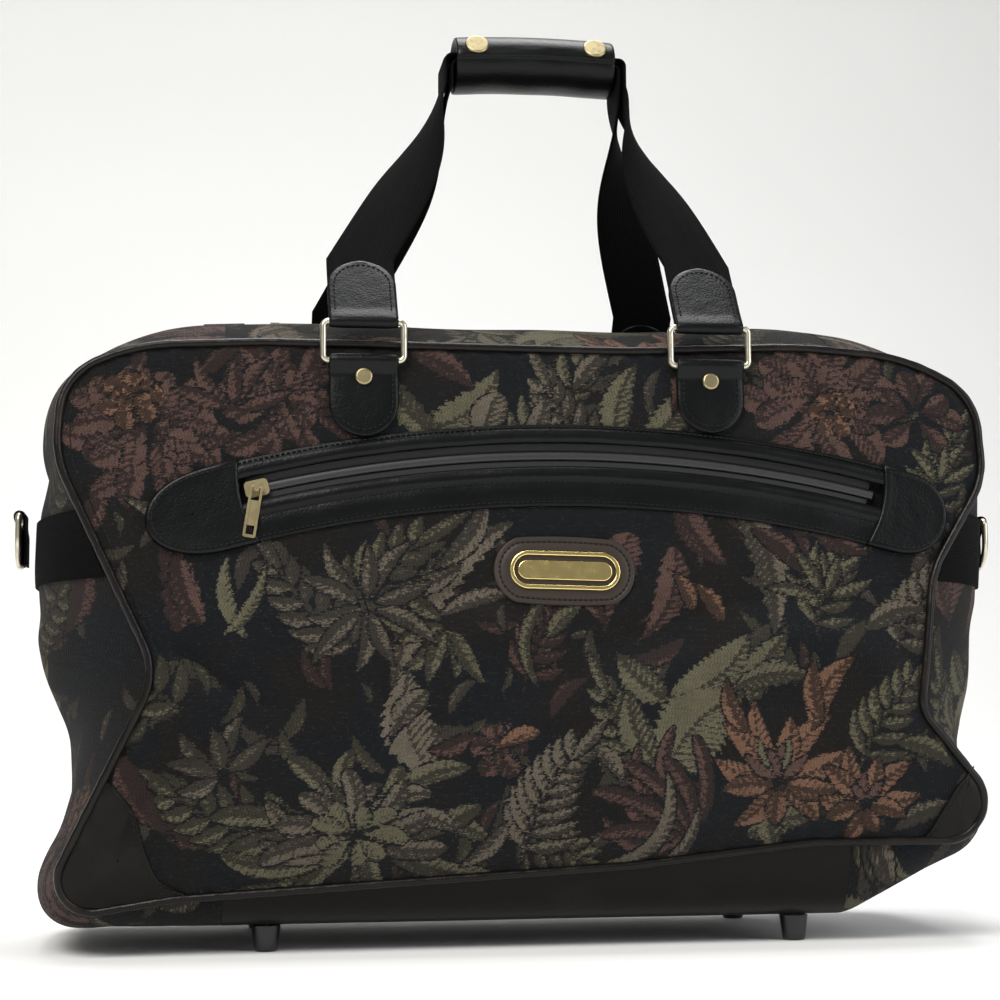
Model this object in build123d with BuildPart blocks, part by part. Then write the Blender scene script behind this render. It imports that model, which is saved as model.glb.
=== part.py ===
from build123d import *
import os
from math import asin, cos, degrees, radians, sin, tan

# A tapestry travel bag standing on its feet. The front faces -Y, +Z is up, sizes are in
# millimetres, and the origin lies on the floor under the middle of the bag.

# ---- driving sizes: the cloth body -------------------------------------------------
panel_half_width = 254.0  # front and back panels, middle to side seam
seam_top_z = 330.0  # seam round the panels: its top run
seam_bottom_z = 34.0  # the same seam along the bottom
seam_top_y = 100.0  # middle of the bag to the top seam
shoulder_z = 243.0  # below this the sides draw in
pinch_half_width = 206.0
pinch_z = 150.0
flare_half_width = 270.0  # the bottom corners before they are rounded
corner_radius = 62.0
shoulder_radius = 70.0
pinch_radius = 60.0
flare_radius = 18.0
lean = radians(5.33)  # the upper front slopes back this much
lean_length = 150.0  # the straight sloping stretch, down from the top seam
belly_radius = 420.0  # the front's curve below it
cloth = 2.0  # tapestry with its backing
vinyl = 1.6
seam_gap = 0.3  # between one sewn layer and the next
snug_gap = 0.05  # round a shank, or webbing, that is held fast
zip_half_length = 172.0  # straight run of the top, and of the main zip
base_half_length = 172.0
crown = 26.0  # the top's rise between its two seams
base_drop = 20.0  # the base's depth below the bottom seam
base_board_thickness = 2.0

# ---- driving sizes: handles --------------------------------------------------------
handle_half_spacing = 97.0  # middle of the bag to each ring
webbing_width = 38.0
webbing = 2.5
ring_wire = 3.6
ring_inner_width = 40.8
ring_rise = 21.5  # lower bar to upper bar
ring_bar_z = 320.5
ring_bar_y = 105.2
pivot_clearance = 0.1  # radial, round a ring's bar
tab_layer = 2.0  # vinyl round a ring's bar
lower_tab_drop_left = 51.8  # down to the pocket band, which falls away to the left
lower_tab_drop_right = 47.8
lower_tab_thickness = 4.0
upper_tab_length = 46.0
upper_tab_layer = 1.6
tab_lean = radians(35.0)  # the straps lean in towards the grip
leg_top_z = 507.0
leg_twist_steps = 4
strap_nesting = 3.8  # the rear strap's loop inside the front one's
grip_shift = 14.0  # the grip hangs a little to the right
grip_length = 97.0
grip_half_depth = 22.0
grip_half_height = 17.5
grip_z = 522.0
grip_wall = 2.2
strap_bend = 4.0
end_clearance = 0.1  # a strap's end stops this far short of its tab's loop
snap_spacing = 72.0
snap_radius = 7.2
snap_height = 1.8
snap_angle = radians(25.0)
snap_seat = 0.8  # the snaps sit this deep in the grip
snap_edge = 1.2
rivet_radius = 4.9
rivet_height = 2.0
rivet_shank = 1.8
rivet_drop = 19.0
rivet_edge = 1.4
ring_corner = 3.0

# ---- driving sizes: front pocket and nameplate -------------------------------------
pocket_radius = 730.0  # the zip bows along this arc
pocket_middle_x = 15.0
pocket_drop = 61.0  # top seam down to the arc's highest point
pocket_zip_half = 172.0
pocket_band_half = 190.0
pocket_band_width = 46.0
pocket_band_sink = 6.0  # the band's middle line runs this far below the zip
pocket_slot = 13.0
pocket_tape_width = 25.0
pocket_slider_x = -155.0
welt_width = 6.5
welt_height = 1.2
welt_offset = 11.5
pouch_half_width = 178.0
pouch_top_drop = 74.0
pouch_depth = 130.0
pouch_wall = 1.2
pouch_corner = 12.0
plate_x = 12.0
plate_drop = 126.0
plate_length = 78.0
plate_height = 38.0
plate_tilt = 1.5
frame_length = 61.0
frame_height = 21.0
frame_band = 2.4
label_length = 52.0
label_height = 10.5
badge_patch = 1.8
badge_frame = 1.6
badge_label = 1.2
badge_patch_edge = 0.8  # rounding of each layer's face
badge_frame_edge = 0.6
badge_label_edge = 0.5

# ---- driving sizes: zips, sides and feet -------------------------------------------
coil_width = 6.0
coil_height = 2.2
tape_half_width = 20.0
tape_thickness = 0.8
zip_slot_half = 11.0
zip_drop = 4.4  # the crown down to the zip tape's underside
zip_tape_half_length = 168.0
end_tab_length = 24.0
end_tab_width = 30.0
end_tab_inner_x = 160.0
end_tab_corner = 3.0
slider_length = 13.0
slider_plate = 1.5
slider_wall = 1.3
slider_gap = 0.3
slider_bridge = 3.0
slider_bridge_height = 4.9
crossbar_radius = 0.9
crossbar_gap = 0.07
slider_corner = 2.4
slider_wall_setback = 5.0  # the side walls stop short of the slider's ends
slider_bridge_width = 5.2
pull_width = 7.0
pull_arm = 1.4
pull_length = 29.0
pull_thickness = 1.6
pull_corner = 1.2
pull_eye = 9.0  # the window round the crossbar
pull_eye_drop = 3.0
pull_window = 5.0  # the window at the pull's free end
pull_window_rise = 4.2
pull_channel_top = 7.5
pull_channel_rise = 7.0
pull_channel_depth = 0.5
main_slider_x = -142.0
side_band_low = 200.0
side_band_high = 238.0
side_band = 1.6
d_ring_wire = 3.6
d_ring_width = 38.0
d_ring_height = 32.0
d_ring_pivot_z = 243.0
d_ring_stand_off = 7.0  # gusset to the ring's bar
d_ring_loop_width = 27.0
d_ring_loop_leg = 28.0
foot_top_radius = 8.0
foot_tip_radius = 6.2
foot_stem_radius = 2.0
foot_washer_radius = 7.0
foot_washer = 1.0
foot_edge = 1.5
foot_x = 148.0
foot_y = 70.0
base_fullness = 12
board_gap = 1.0
board_half_length = 160.0
board_half_depth = 76.0
board_corner_radius = 12.0

seam_bead = 4.0  # piping round both panels
bead_proud = 1.5
patch_top_z = 95.0
patch_inner_x = 188.0
patch_outer_x = 221.0  # where the patch's curved edge meets its top
patch_bow = (210.0, 60.0)  # that edge passes through here
patch_low_z = 20.0
patch_edge_inset = 0.5
lining_inset = 6.6
lining_side_inset = 8.0
lining_wall = 0.8
lining_top_drop = 8.0
lining_shoulder = 0.3  # share of the shoulder's drop cut off at its corner
lining_flare_inset = 36.0
lining_flare_rise = 22.0
lining_low_rise = 12.0  # seam up to the end of the lining's belly
beyond = 300.0  # more than the bag's half length

# ---- worked-out places -------------------------------------------------------------
lean_foot_y = -seam_top_y - lean_length * sin(lean)
lean_foot_z = seam_top_z - lean_length * cos(lean)
belly_y = lean_foot_y + belly_radius * cos(lean)
belly_z = lean_foot_z - belly_radius * sin(lean)
crown_z = seam_top_z + crown
base_z = seam_bottom_z - base_drop
cloth_depth = cloth + seam_gap  # from the panels' face in to the gussets' edge
pocket_cap_half = pocket_band_half + 6.0
pull_hang = -9.0  # the hanging pull's tilt on the front
crossbar_height = slider_gap + slider_plate + slider_bridge_height - crossbar_radius - 0.6
face_axis = Axis((0, 0, 0), (0, -cos(lean), sin(lean)))
front_plane = Plane(
    origin=(0, -seam_top_y, seam_top_z), x_dir=(1, 0, 0), z_dir=(0, -cos(lean), sin(lean))
)
depth_shares = (0, 0.2, 0.4, 0.6, 0.75, 0.88, 1)
# Each side gusset's stations: share of the seam's length, the angle above level in which
# the strip bows out, how far it bows, and how full the bow is.
gusset_stations = (
    (0, 90, crown, 2),
    (0.045, 90, 25, 2),
    (0.10, 67, 19, 2),
    (0.153, 45, 14, 2),
    (0.21, 22, 12, 2),
    (0.262, 0, 14, 2),
    (0.317, 0, 24, 2.2),
    (0.37, 0, 38, 2.4),
    (0.42, 0, 47, 2.5),
    (0.478, 0, 54, 2.5),
    (0.544, 0, 56, 2.4),
    (0.61, 0, 41, 2.3),
    (0.69, 0, 19, 2.2),
    (0.75, 0, 8, 2.2),
    (0.785, -25, 8, 2.6),
    (0.80, -45, 9.5, 3.2),
    (0.815, -62, 11.5, 4.4),
    (0.832, -78, 14.5, 6.5),
    (0.85, -90, 17, 9),
    (0.90, -90, 19.4, 11),
    (0.94, -90, base_drop, base_fullness),
    (1, -90, base_drop, base_fullness),
)

os.makedirs("parts", exist_ok=True)


def finish(builder, name):
    """Label a finished sub-part and write it under its own name."""
    builder.part.label = name
    export_step(builder.part, f"parts/{name}.step")


def face_y(z, out=0.0):
    """Y of the front's face at a height, moved out from the cloth by out."""
    if z >= lean_foot_z:
        return -seam_top_y - (seam_top_z - z) * tan(lean) - out / cos(lean)
    return belly_y - ((belly_radius + out) ** 2 - (belly_z - z) ** 2) ** 0.5


def face_point(angle, out):
    """A point (y, z) of the belly's arc, by its angle below the arc's middle."""
    return (belly_y - (belly_radius + out) * cos(angle), belly_z - (belly_radius + out) * sin(angle))


def front_sheet(inner, outer):
    """Add a sheet that follows the front's section, between two distances from its face."""
    above = 16.0
    lowest = asin((belly_z - seam_bottom_z + 12.0) / belly_radius)
    middle = (lowest - lean) / 2
    with BuildSketch(Plane.YZ) as section:
        with BuildLine():
            tops = []
            for out in (inner, outer):
                top = (
                    -seam_top_y - out * cos(lean) + above * sin(lean),
                    seam_top_z + out * sin(lean) + above * cos(lean),
                )
                Line(top, face_point(-lean, out))
                ThreePointArc(face_point(-lean, out), face_point(middle, out), face_point(lowest, out))
                tops.append(top)
            Line(tops[0], tops[1])
            Line(face_point(lowest, inner), face_point(lowest, outer))
        make_face()
    extrude(section.sketch, amount=beyond, both=True)


def panel_corners():
    """The right half of the panel's outline before its corners are rounded."""
    return [
        (panel_half_width, seam_top_z),
        (panel_half_width, shoulder_z),
        (pinch_half_width, pinch_z),
        (flare_half_width, seam_bottom_z),
    ]


def panel_outline(grow=0.0):
    """The panel's outline on the XZ plane, grown by an amount."""
    right = panel_corners()
    left = [(-x, z) for x, z in reversed(right)]
    radii = [corner_radius, shoulder_radius, pinch_radius, flare_radius]
    with BuildSketch(Plane.XZ) as outline:
        with BuildLine():
            FilletPolyline(*right, *left, radius=radii + radii[::-1], close=True)
        make_face()
        if grow:
            offset(amount=grow)
    return outline.sketch


def keep_inside_outline(grow=0.0):
    """Cut the part in progress to the panel's outline."""
    extrude(panel_outline(grow), amount=200, both=True, mode=Mode.INTERSECT)


def across_face(plane, half_depth, rise, fullness, near=0.0, thick=cloth, span=(-1, 1)):
    """The section of a strip bowed between two seams, on a plane whose x points outwards.

    A fullness of 2 is a plain curve, and a high one is flat between rounded edges.
    """
    shares = sorted({side * share for side in (-1, 1) for share in depth_shares} | set(span))
    shares = [share for share in shares if span[0] <= share <= span[1]]
    outer = [(rise * (1 - abs(share) ** fullness) + near, share * half_depth) for share in shares]
    inner = [(out - thick, depth) for out, depth in outer]
    with BuildSketch(plane) as section:
        with BuildLine():
            Spline(*outer)
            Spline(*inner)
            Line(outer[0], inner[0])
            Line(outer[-1], inner[-1])
        make_face()
    return section.sketch


def pocket_strip(sink, half_length, width):
    """An arched strip of the pocket on the front's plane, sink below the zip's own arc."""
    radius = pocket_radius - sink
    half_angle = degrees(asin(half_length / radius))
    with BuildLine() as middle:
        CenterArc((pocket_middle_x, -pocket_drop - pocket_radius), radius, 90 - half_angle, 2 * half_angle)
    with BuildSketch() as strip:
        SlotArc(middle.edges()[0], width)
    return strip.sketch


def on_front(sketch, out):
    """Place a flat sketch on the front's sloping plane, at a distance out from the cloth."""
    return front_plane.offset(out) * sketch


def rivet_holes():
    """Drill the panel in progress for the tab rivets."""
    for side in (-1, 1):
        with Locations(front_plane * Location((side * handle_half_spacing, -rivet_drop, 0))):
            Hole(rivet_shank, 3 * cloth)


# ---- front and back panels ---------------------------------------------------------
with BuildPart() as front_panel:
    front_sheet(-cloth, 0)
    keep_inside_outline()
    slit = on_front(pocket_strip(0, pocket_zip_half, pocket_slot), -2 * cloth)
    extrude(slit, amount=4 * cloth, mode=Mode.SUBTRACT)
    rivet_holes()
finish(front_panel, "front_panel")

with BuildPart() as plain_front:
    front_sheet(-cloth, 0)
    keep_inside_outline()
    rivet_holes()

with BuildPart() as back_panel:
    mirror(plain_front.part, about=Plane.XZ)
finish(back_panel, "back_panel")

# ---- piping: a bead round each panel -----------------------------------------------
with BuildPart() as piping_front:
    front_sheet(-cloth, bead_proud)
    keep_inside_outline(seam_bead + seam_gap)
    extrude(panel_outline(seam_gap), amount=200, both=True, mode=Mode.SUBTRACT)
finish(piping_front, "piping_front")

with BuildPart() as piping_back:
    mirror(piping_front.part, about=Plane.XZ)
finish(piping_back, "piping_back")

# ---- side gussets: one strip each, from the zip's end down and under to the base ----
with BuildLine(Plane.XZ) as gusset_seam:
    FilletPolyline(
        (zip_half_length, seam_top_z),
        *panel_corners(),
        (base_half_length, seam_bottom_z),
        radius=[corner_radius, shoulder_radius, pinch_radius, flare_radius],
    )
gusset_path = gusset_seam.wire()


def gusset_plane(share, angle):
    """A plane across the seam at a share of its length, x outwards at an angle above level."""
    outwards = Vector(cos(radians(angle)), 0, sin(radians(angle)))
    return Plane(gusset_path.position_at(share), x_dir=outwards, z_dir=outwards.cross(Vector(0, 1, 0)))


def gusset_shell(near=0.0, thick=cloth):
    """Add the right gusset, or a layer lying on it."""
    sections = []
    for share, angle, rise, fullness in gusset_stations:
        plane = gusset_plane(share, angle)
        half_depth = -face_y(plane.origin.Z, -cloth_depth)
        sections += across_face(plane, half_depth, rise, fullness, near, thick).faces()
    loft(sections, ruled=True)


with BuildPart() as side_gusset_right:
    gusset_shell()
finish(side_gusset_right, "side_gusset_right")

with BuildPart() as side_gusset_left:
    add(side_gusset_right.part, rotation=(0, 0, 180))
finish(side_gusset_left, "side_gusset_left")

# ---- top strips either side of the main zip ----------------------------------------
strip_half_depth = -face_y(seam_top_z, -cloth_depth)
top_plane = Plane((-zip_half_length + seam_gap, 0, seam_top_z), x_dir=(0, 0, 1), z_dir=(1, 0, 0))
for name, span in (
    ("top_strip_front", (zip_slot_half / strip_half_depth, 1)),
    ("top_strip_rear", (-1, -zip_slot_half / strip_half_depth)),
):
    with BuildPart() as top_strip:
        across_face_sketch = across_face(top_plane, strip_half_depth, crown, 2, span=span)
        extrude(across_face_sketch, amount=2 * (zip_half_length - seam_gap))
    finish(top_strip, name)

# ---- base: vinyl panel, stiffening board, feet and their washers --------------------
base_half_depth = -face_y(seam_bottom_z, -cloth_depth)
base_plane = Plane(
    (-base_half_length + seam_gap, 0, seam_bottom_z), x_dir=(0, 0, -1), z_dir=(1, 0, 0)
)
with BuildPart() as base_panel:
    base_section = across_face(base_plane, base_half_depth, base_drop, base_fullness, thick=vinyl)
    extrude(base_section, amount=2 * (base_half_length - seam_gap))
    with BuildSketch(Plane.XY.offset(base_z)):
        with GridLocations(2 * foot_x, 2 * foot_y, 2, 2):
            Circle(foot_stem_radius)
    extrude(amount=3 * vinyl, mode=Mode.SUBTRACT)
finish(base_panel, "base_panel")

board_z = base_z + vinyl + board_gap
with BuildPart() as base_board:
    with BuildSketch(Plane.XY.offset(board_z)):
        RectangleRounded(2 * board_half_length, 2 * board_half_depth, board_corner_radius)
        with GridLocations(2 * foot_x, 2 * foot_y, 2, 2):
            Circle(foot_stem_radius, mode=Mode.SUBTRACT)
    extrude(amount=base_board_thickness)
finish(base_board, "base_board")

with BuildPart() as feet:
    with GridLocations(2 * foot_x, 2 * foot_y, 2, 2):
        Cone(foot_tip_radius, foot_top_radius, base_z, align=(Align.CENTER, Align.CENTER, Align.MIN))
    fillet(feet.edges().group_by(Axis.Z)[0], foot_edge)
    with BuildSketch(Plane.XY.offset(base_z)):
        with GridLocations(2 * foot_x, 2 * foot_y, 2, 2):
            Circle(foot_stem_radius - snug_gap)
    extrude(amount=board_z + base_board_thickness - base_z)
finish(feet, "feet")

with BuildPart() as foot_washers:
    with BuildSketch(Plane.XY.offset(board_z + base_board_thickness)):
        with GridLocations(2 * foot_x, 2 * foot_y, 2, 2):
            Circle(foot_washer_radius)
    extrude(amount=foot_washer)
finish(foot_washers, "foot_washers")

# ---- lining: a thin open-topped bag inside the cloth --------------------------------
lining_floor_z = board_z + base_board_thickness + foot_washer + seam_gap


def lining_block(inset):
    """A solid that fills the bag's inside, a given distance in from the lining's outside."""
    depth_in = lining_inset + inset
    floor_z = lining_floor_z + inset
    top_z = seam_top_z - lining_top_drop
    low_z = seam_bottom_z + lining_low_rise
    with BuildPart() as block:
        with BuildSketch(Plane.YZ) as section:
            with BuildLine():
                upper = (face_y(top_z, -depth_in), top_z)
                lean_end = face_point(-lean, -depth_in)
                arc_end = (face_y(low_z, -depth_in), low_z)
                arc_middle = (face_y((lean_end[1] + low_z) / 2, -depth_in), (lean_end[1] + low_z) / 2)
                Polyline(upper, lean_end)
                ThreePointArc(lean_end, arc_middle, arc_end)
                Polyline(arc_end, (-board_half_depth + inset, floor_z), (0, floor_z))
                mirror(about=Plane.YZ)
                Line(upper, (-upper[0], top_z))
            make_face()
        extrude(section.sketch, amount=beyond, both=True)
        with BuildSketch(Plane.XZ) as outline:
            with BuildLine():
                side_x = panel_half_width - lining_side_inset - inset
                shoulder_drop = corner_radius - lining_side_inset
                Polyline(
                    (0, top_z),
                    (side_x - shoulder_drop, top_z),
                    (side_x - lining_shoulder * shoulder_drop, top_z - lining_shoulder * shoulder_drop),
                    (side_x, top_z - shoulder_drop),
                    (side_x, shoulder_z),
                    (pinch_half_width - lining_side_inset - inset, pinch_z),
                    (panel_half_width - lining_flare_inset - inset, seam_bottom_z + lining_flare_rise),
                    (base_half_length - inset, floor_z),
                    (0, floor_z),
                )
                mirror(about=Plane.YZ)
            make_face()
        extrude(outline.sketch, amount=beyond, both=True, mode=Mode.INTERSECT)
    return block.part


with BuildPart() as lining:
    add(lining_block(0))
    add(lining_block(lining_wall), mode=Mode.SUBTRACT)
finish(lining, "lining")

# ---- corner patches: vinyl over the panels' bottom corners --------------------------
with BuildPart() as corner_patch:
    front_sheet(seam_gap, seam_gap + vinyl)
    keep_inside_outline(-patch_edge_inset)
    with BuildSketch(Plane.XZ) as corner:
        with BuildLine():
            ThreePointArc((patch_outer_x, patch_top_z), patch_bow, (patch_inner_x, patch_low_z))
            Polyline(
                (patch_inner_x, patch_low_z),
                (beyond, patch_low_z),
                (beyond, patch_top_z),
                (patch_outer_x, patch_top_z),
            )
        make_face()
    extrude(corner.sketch, amount=200, both=True, mode=Mode.INTERSECT)

for end, end_plane in (("right", None), ("left", Plane.YZ)):
    for face, face_plane in (("front", None), ("back", Plane.XZ)):
        with BuildPart() as patch:
            piece = corner_patch.part
            for about in (end_plane, face_plane):
                if about:
                    piece = mirror(piece, about=about, mode=Mode.PRIVATE)
            add(piece)
        finish(patch, f"corner_patch_{face}_{end}")

# ---- front pocket: band, end caps, zip and pouch -------------------------------------
band_low = seam_gap
band_high = seam_gap + vinyl

with BuildPart() as pocket_band:
    strip = pocket_strip(pocket_band_sink, pocket_cap_half, pocket_band_width)
    extrude(on_front(strip, band_low), amount=band_high - band_low)
    for sink in (-welt_offset, welt_offset):
        welt = pocket_strip(sink, pocket_band_half, welt_width)
        extrude(on_front(welt, band_high), amount=welt_height)
    slot = pocket_strip(0, pocket_zip_half, pocket_slot)
    extrude(on_front(slot, -cloth), amount=4 * cloth, mode=Mode.SUBTRACT)
    with BuildSketch(front_plane):
        with Locations((pocket_middle_x, -pocket_drop)):
            Rectangle(2 * pocket_band_half, 200)
    extrude(amount=3 * cloth, mode=Mode.INTERSECT)
finish(pocket_band, "pocket_band")

for end, side in (("left", -1), ("right", 1)):
    with BuildPart() as end_cap:
        strip = pocket_strip(pocket_band_sink, pocket_cap_half, pocket_band_width)
        extrude(on_front(strip, band_low), amount=band_high - band_low)
        with BuildSketch(front_plane):
            with Locations((pocket_middle_x + side * (pocket_band_half + seam_gap + 50), -pocket_drop)):
                Rectangle(100, 200)
        extrude(amount=3 * cloth, mode=Mode.INTERSECT)
    finish(end_cap, f"pocket_end_cap_{end}")

pocket_tape_out = -cloth - seam_gap - tape_thickness
with BuildPart() as pocket_zip_tape:
    strip = pocket_strip(0, pocket_zip_half, pocket_tape_width)
    extrude(on_front(strip, pocket_tape_out), amount=tape_thickness)
    coil_bed = pocket_strip(0, pocket_zip_half - 4, coil_width)
    extrude(on_front(coil_bed, pocket_tape_out), amount=tape_thickness, mode=Mode.SUBTRACT)
finish(pocket_zip_tape, "pocket_zip_tape")

with BuildPart() as pocket_zip_coil:
    coil_bed = pocket_strip(0, pocket_zip_half - 4, coil_width)
    extrude(on_front(coil_bed, pocket_tape_out), amount=coil_height)
finish(pocket_zip_coil, "pocket_zip_coil")

with BuildPart() as pocket_pouch:
    front_sheet(pocket_tape_out - seam_gap - pouch_wall, pocket_tape_out - seam_gap)
    pouch_top = seam_top_z - pouch_top_drop
    with BuildSketch(Plane.XZ) as pouch_outline:
        with BuildLine():
            FilletPolyline(
                (-pouch_half_width, pouch_top),
                (pouch_half_width, pouch_top),
                (pouch_half_width, pouch_top - pouch_depth),
                (-pouch_half_width, pouch_top - pouch_depth),
                radius=pouch_corner,
                close=True,
            )
        make_face()
    extrude(pouch_outline.sketch, amount=200, both=True, mode=Mode.INTERSECT)
finish(pocket_pouch, "pocket_pouch")


# ---- zip sliders and pulls ------------------------------------------------------------
def slider(coil_top, crossbar):
    """Add a slider that runs along x on a coil, with its crossbar's hole along a direction."""
    half_coil = coil_width / 2 + slider_gap
    half_width = half_coil + slider_wall
    with BuildSketch(coil_top.offset(slider_gap)) as plate:
        RectangleRounded(slider_length, 2 * half_width, slider_corner)
    extrude(plate.sketch, amount=slider_plate)
    with BuildSketch(coil_top.offset(4 * slider_gap - coil_height)) as walls:
        with Locations((0, half_coil + slider_wall / 2), (0, -half_coil - slider_wall / 2)):
            Rectangle(slider_length - slider_wall_setback, slider_wall)
    extrude(walls.sketch, amount=coil_height)
    bar = Plane(coil_top.origin, x_dir=crossbar, z_dir=coil_top.z_dir)
    with BuildSketch(bar.offset(slider_gap + slider_plate)) as bridge:
        Rectangle(slider_bridge, slider_bridge_width)
    extrude(bridge.sketch, amount=slider_bridge_height)
    with BuildSketch(Plane(bar.offset(crossbar_height).origin, x_dir=bar.z_dir, z_dir=bar.x_dir)) as eye:
        Circle(crossbar_radius + crossbar_gap)
    extrude(eye.sketch, amount=slider_bridge, both=True, mode=Mode.SUBTRACT)


def pull(coil_top, crossbar):
    """Add a framed pull hanging from the crossbar, along the crossbar's y."""
    bar = Plane(coil_top.origin, x_dir=crossbar, z_dir=coil_top.z_dir).offset(crossbar_height)
    inner = pull_width - 2 * pull_arm
    with BuildSketch(bar.offset(-pull_thickness / 2)) as frame:
        with Locations((0, crossbar_radius - pull_length / 2)):
            RectangleRounded(pull_width, pull_length, pull_corner)
        with Locations((0, -pull_eye_drop)):
            Rectangle(inner, pull_eye, mode=Mode.SUBTRACT)
        with Locations((0, crossbar_radius - pull_length + pull_window_rise)):
            Rectangle(inner, pull_window, mode=Mode.SUBTRACT)
    extrude(frame.sketch, amount=pull_thickness)
    channel_low = pull_length - pull_channel_rise
    with BuildSketch(bar.offset(pull_thickness / 2 - pull_channel_depth)) as channel:
        with Locations((0, -(pull_channel_top + channel_low) / 2)):
            Rectangle(inner, channel_low - pull_channel_top)
    extrude(channel.sketch, amount=2 * pull_channel_depth, mode=Mode.SUBTRACT)
    with BuildSketch(Plane(bar.origin, x_dir=bar.z_dir, z_dir=bar.x_dir)) as pin:
        Circle(crossbar_radius)
    extrude(pin.sketch, amount=pull_width / 2 - pull_arm / 2, both=True)


pocket_turn = asin((pocket_slider_x - pocket_middle_x) / pocket_radius)
pocket_coil_out = pocket_tape_out + coil_height
pocket_slider_local = (
    pocket_middle_x + pocket_radius * sin(pocket_turn),
    -pocket_drop - pocket_radius * (1 - cos(pocket_turn)),
    pocket_coil_out,
)
pocket_slider_place = front_plane * Location(pocket_slider_local, (0, 0, -degrees(pocket_turn)))
pocket_coil_top = Plane(pocket_slider_place)
pocket_crossbar = front_plane.x_dir.rotate(Axis((0, 0, 0), front_plane.z_dir), pull_hang)
with BuildPart() as pocket_zip_slider:
    slider(pocket_coil_top, pocket_crossbar)
finish(pocket_zip_slider, "pocket_zip_slider")

with BuildPart() as pocket_zip_pull:
    pull(pocket_coil_top, pocket_crossbar)
finish(pocket_zip_pull, "pocket_zip_pull")

# ---- nameplate: a bare framed badge on a vinyl patch ----------------------------------
badge_plane = Plane(front_plane * Location((plate_x, -plate_drop, 0), (0, 0, -plate_tilt)))
with BuildPart() as nameplate_patch:
    with BuildSketch(badge_plane.offset(seam_gap)):
        SlotOverall(plate_length, plate_height)
    extrude(amount=badge_patch)
    fillet(nameplate_patch.faces().sort_by(face_axis)[-1].edges(), badge_patch_edge)
finish(nameplate_patch, "nameplate_patch")

with BuildPart() as nameplate_frame:
    with BuildSketch(badge_plane.offset(seam_gap + badge_patch)):
        SlotOverall(frame_length, frame_height)
        SlotOverall(frame_length - 2 * frame_band, frame_height - 2 * frame_band, mode=Mode.SUBTRACT)
    extrude(amount=badge_frame)
    fillet(nameplate_frame.faces().sort_by(face_axis)[-1].edges(), badge_frame_edge)
finish(nameplate_frame, "nameplate_frame")

with BuildPart() as nameplate_plate:
    with BuildSketch(badge_plane.offset(seam_gap + badge_patch)):
        SlotOverall(label_length, label_height)
    extrude(amount=badge_label)
    fillet(nameplate_plate.faces().sort_by(face_axis)[-1].edges(), badge_label_edge)
finish(nameplate_plate, "nameplate_plate")

# ---- main zip along the top -----------------------------------------------------------
zip_z = crown_z - zip_drop
with BuildPart() as main_zip_tape:
    with BuildSketch(Plane.XY.offset(zip_z)):
        for side in (-1, 1):
            with Locations((0, side * (coil_width / 2 + tape_half_width) / 2)):
                Rectangle(2 * zip_tape_half_length, tape_half_width - coil_width / 2)
    extrude(amount=tape_thickness)
finish(main_zip_tape, "main_zip_tape")

with BuildPart() as main_zip_coil:
    with BuildSketch(Plane.XY.offset(zip_z)):
        Rectangle(2 * zip_tape_half_length, coil_width)
    extrude(amount=coil_height)
finish(main_zip_coil, "main_zip_coil")

for end, side in (("left", -1), ("right", 1)):
    with BuildPart() as end_tab:
        with BuildSketch(Plane.XY.offset(crown_z + seam_gap)):
            with Locations((side * (end_tab_inner_x + end_tab_length / 2), 0)):
                RectangleRounded(end_tab_length, end_tab_width, end_tab_corner)
        extrude(amount=vinyl)
    finish(end_tab, f"main_zip_end_tab_{end}")

main_coil_top = Plane((main_slider_x, 0, zip_z + coil_height))
with BuildPart() as main_zip_slider:
    slider(main_coil_top, Vector(0, -1, 0))
finish(main_zip_slider, "main_zip_slider")

with BuildPart() as main_zip_pull:
    pull(main_coil_top, Vector(0, 1, 0))
finish(main_zip_pull, "main_zip_pull")

# ---- handle tabs, rivets and rings ------------------------------------------------------
loop_radius = ring_wire / 2 + pivot_clearance + tab_layer
bore_radius = ring_wire / 2 + pivot_clearance


def bar_loop(x, z, mode=Mode.ADD, radius=loop_radius):
    """Add or cut a round sleeve along a ring's bar, as wide as the webbing."""
    with BuildSketch(Plane.YZ.offset(x - webbing_width / 2)) as sleeve:
        with Locations((-ring_bar_y, z)):
            Circle(radius)
    extrude(sleeve.sketch, amount=webbing_width, mode=mode)


def lower_tab(x):
    """The riveted tab that holds a ring on the panel."""
    drop = lower_tab_drop_left if x < 0 else lower_tab_drop_right
    with BuildPart() as tab:
        with BuildSketch(front_plane.offset(seam_gap)) as face:
            with Locations((x, -drop + webbing_width / 2)):
                Circle(webbing_width / 2)
            plain = drop - webbing_width / 2 - (seam_top_z - ring_bar_z)
            with Locations((x, -(seam_top_z - ring_bar_z) - plain / 2)):
                Rectangle(webbing_width, plain)
        extrude(face.sketch, amount=lower_tab_thickness)
        bar_loop(x, ring_bar_z)
        bar_loop(x, ring_bar_z, Mode.SUBTRACT, bore_radius)
        with BuildSketch(front_plane) as hole:
            with Locations((x, -rivet_drop)):
                Circle(rivet_shank)
        extrude(hole.sketch, amount=10, mode=Mode.SUBTRACT)
    return tab.part


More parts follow.
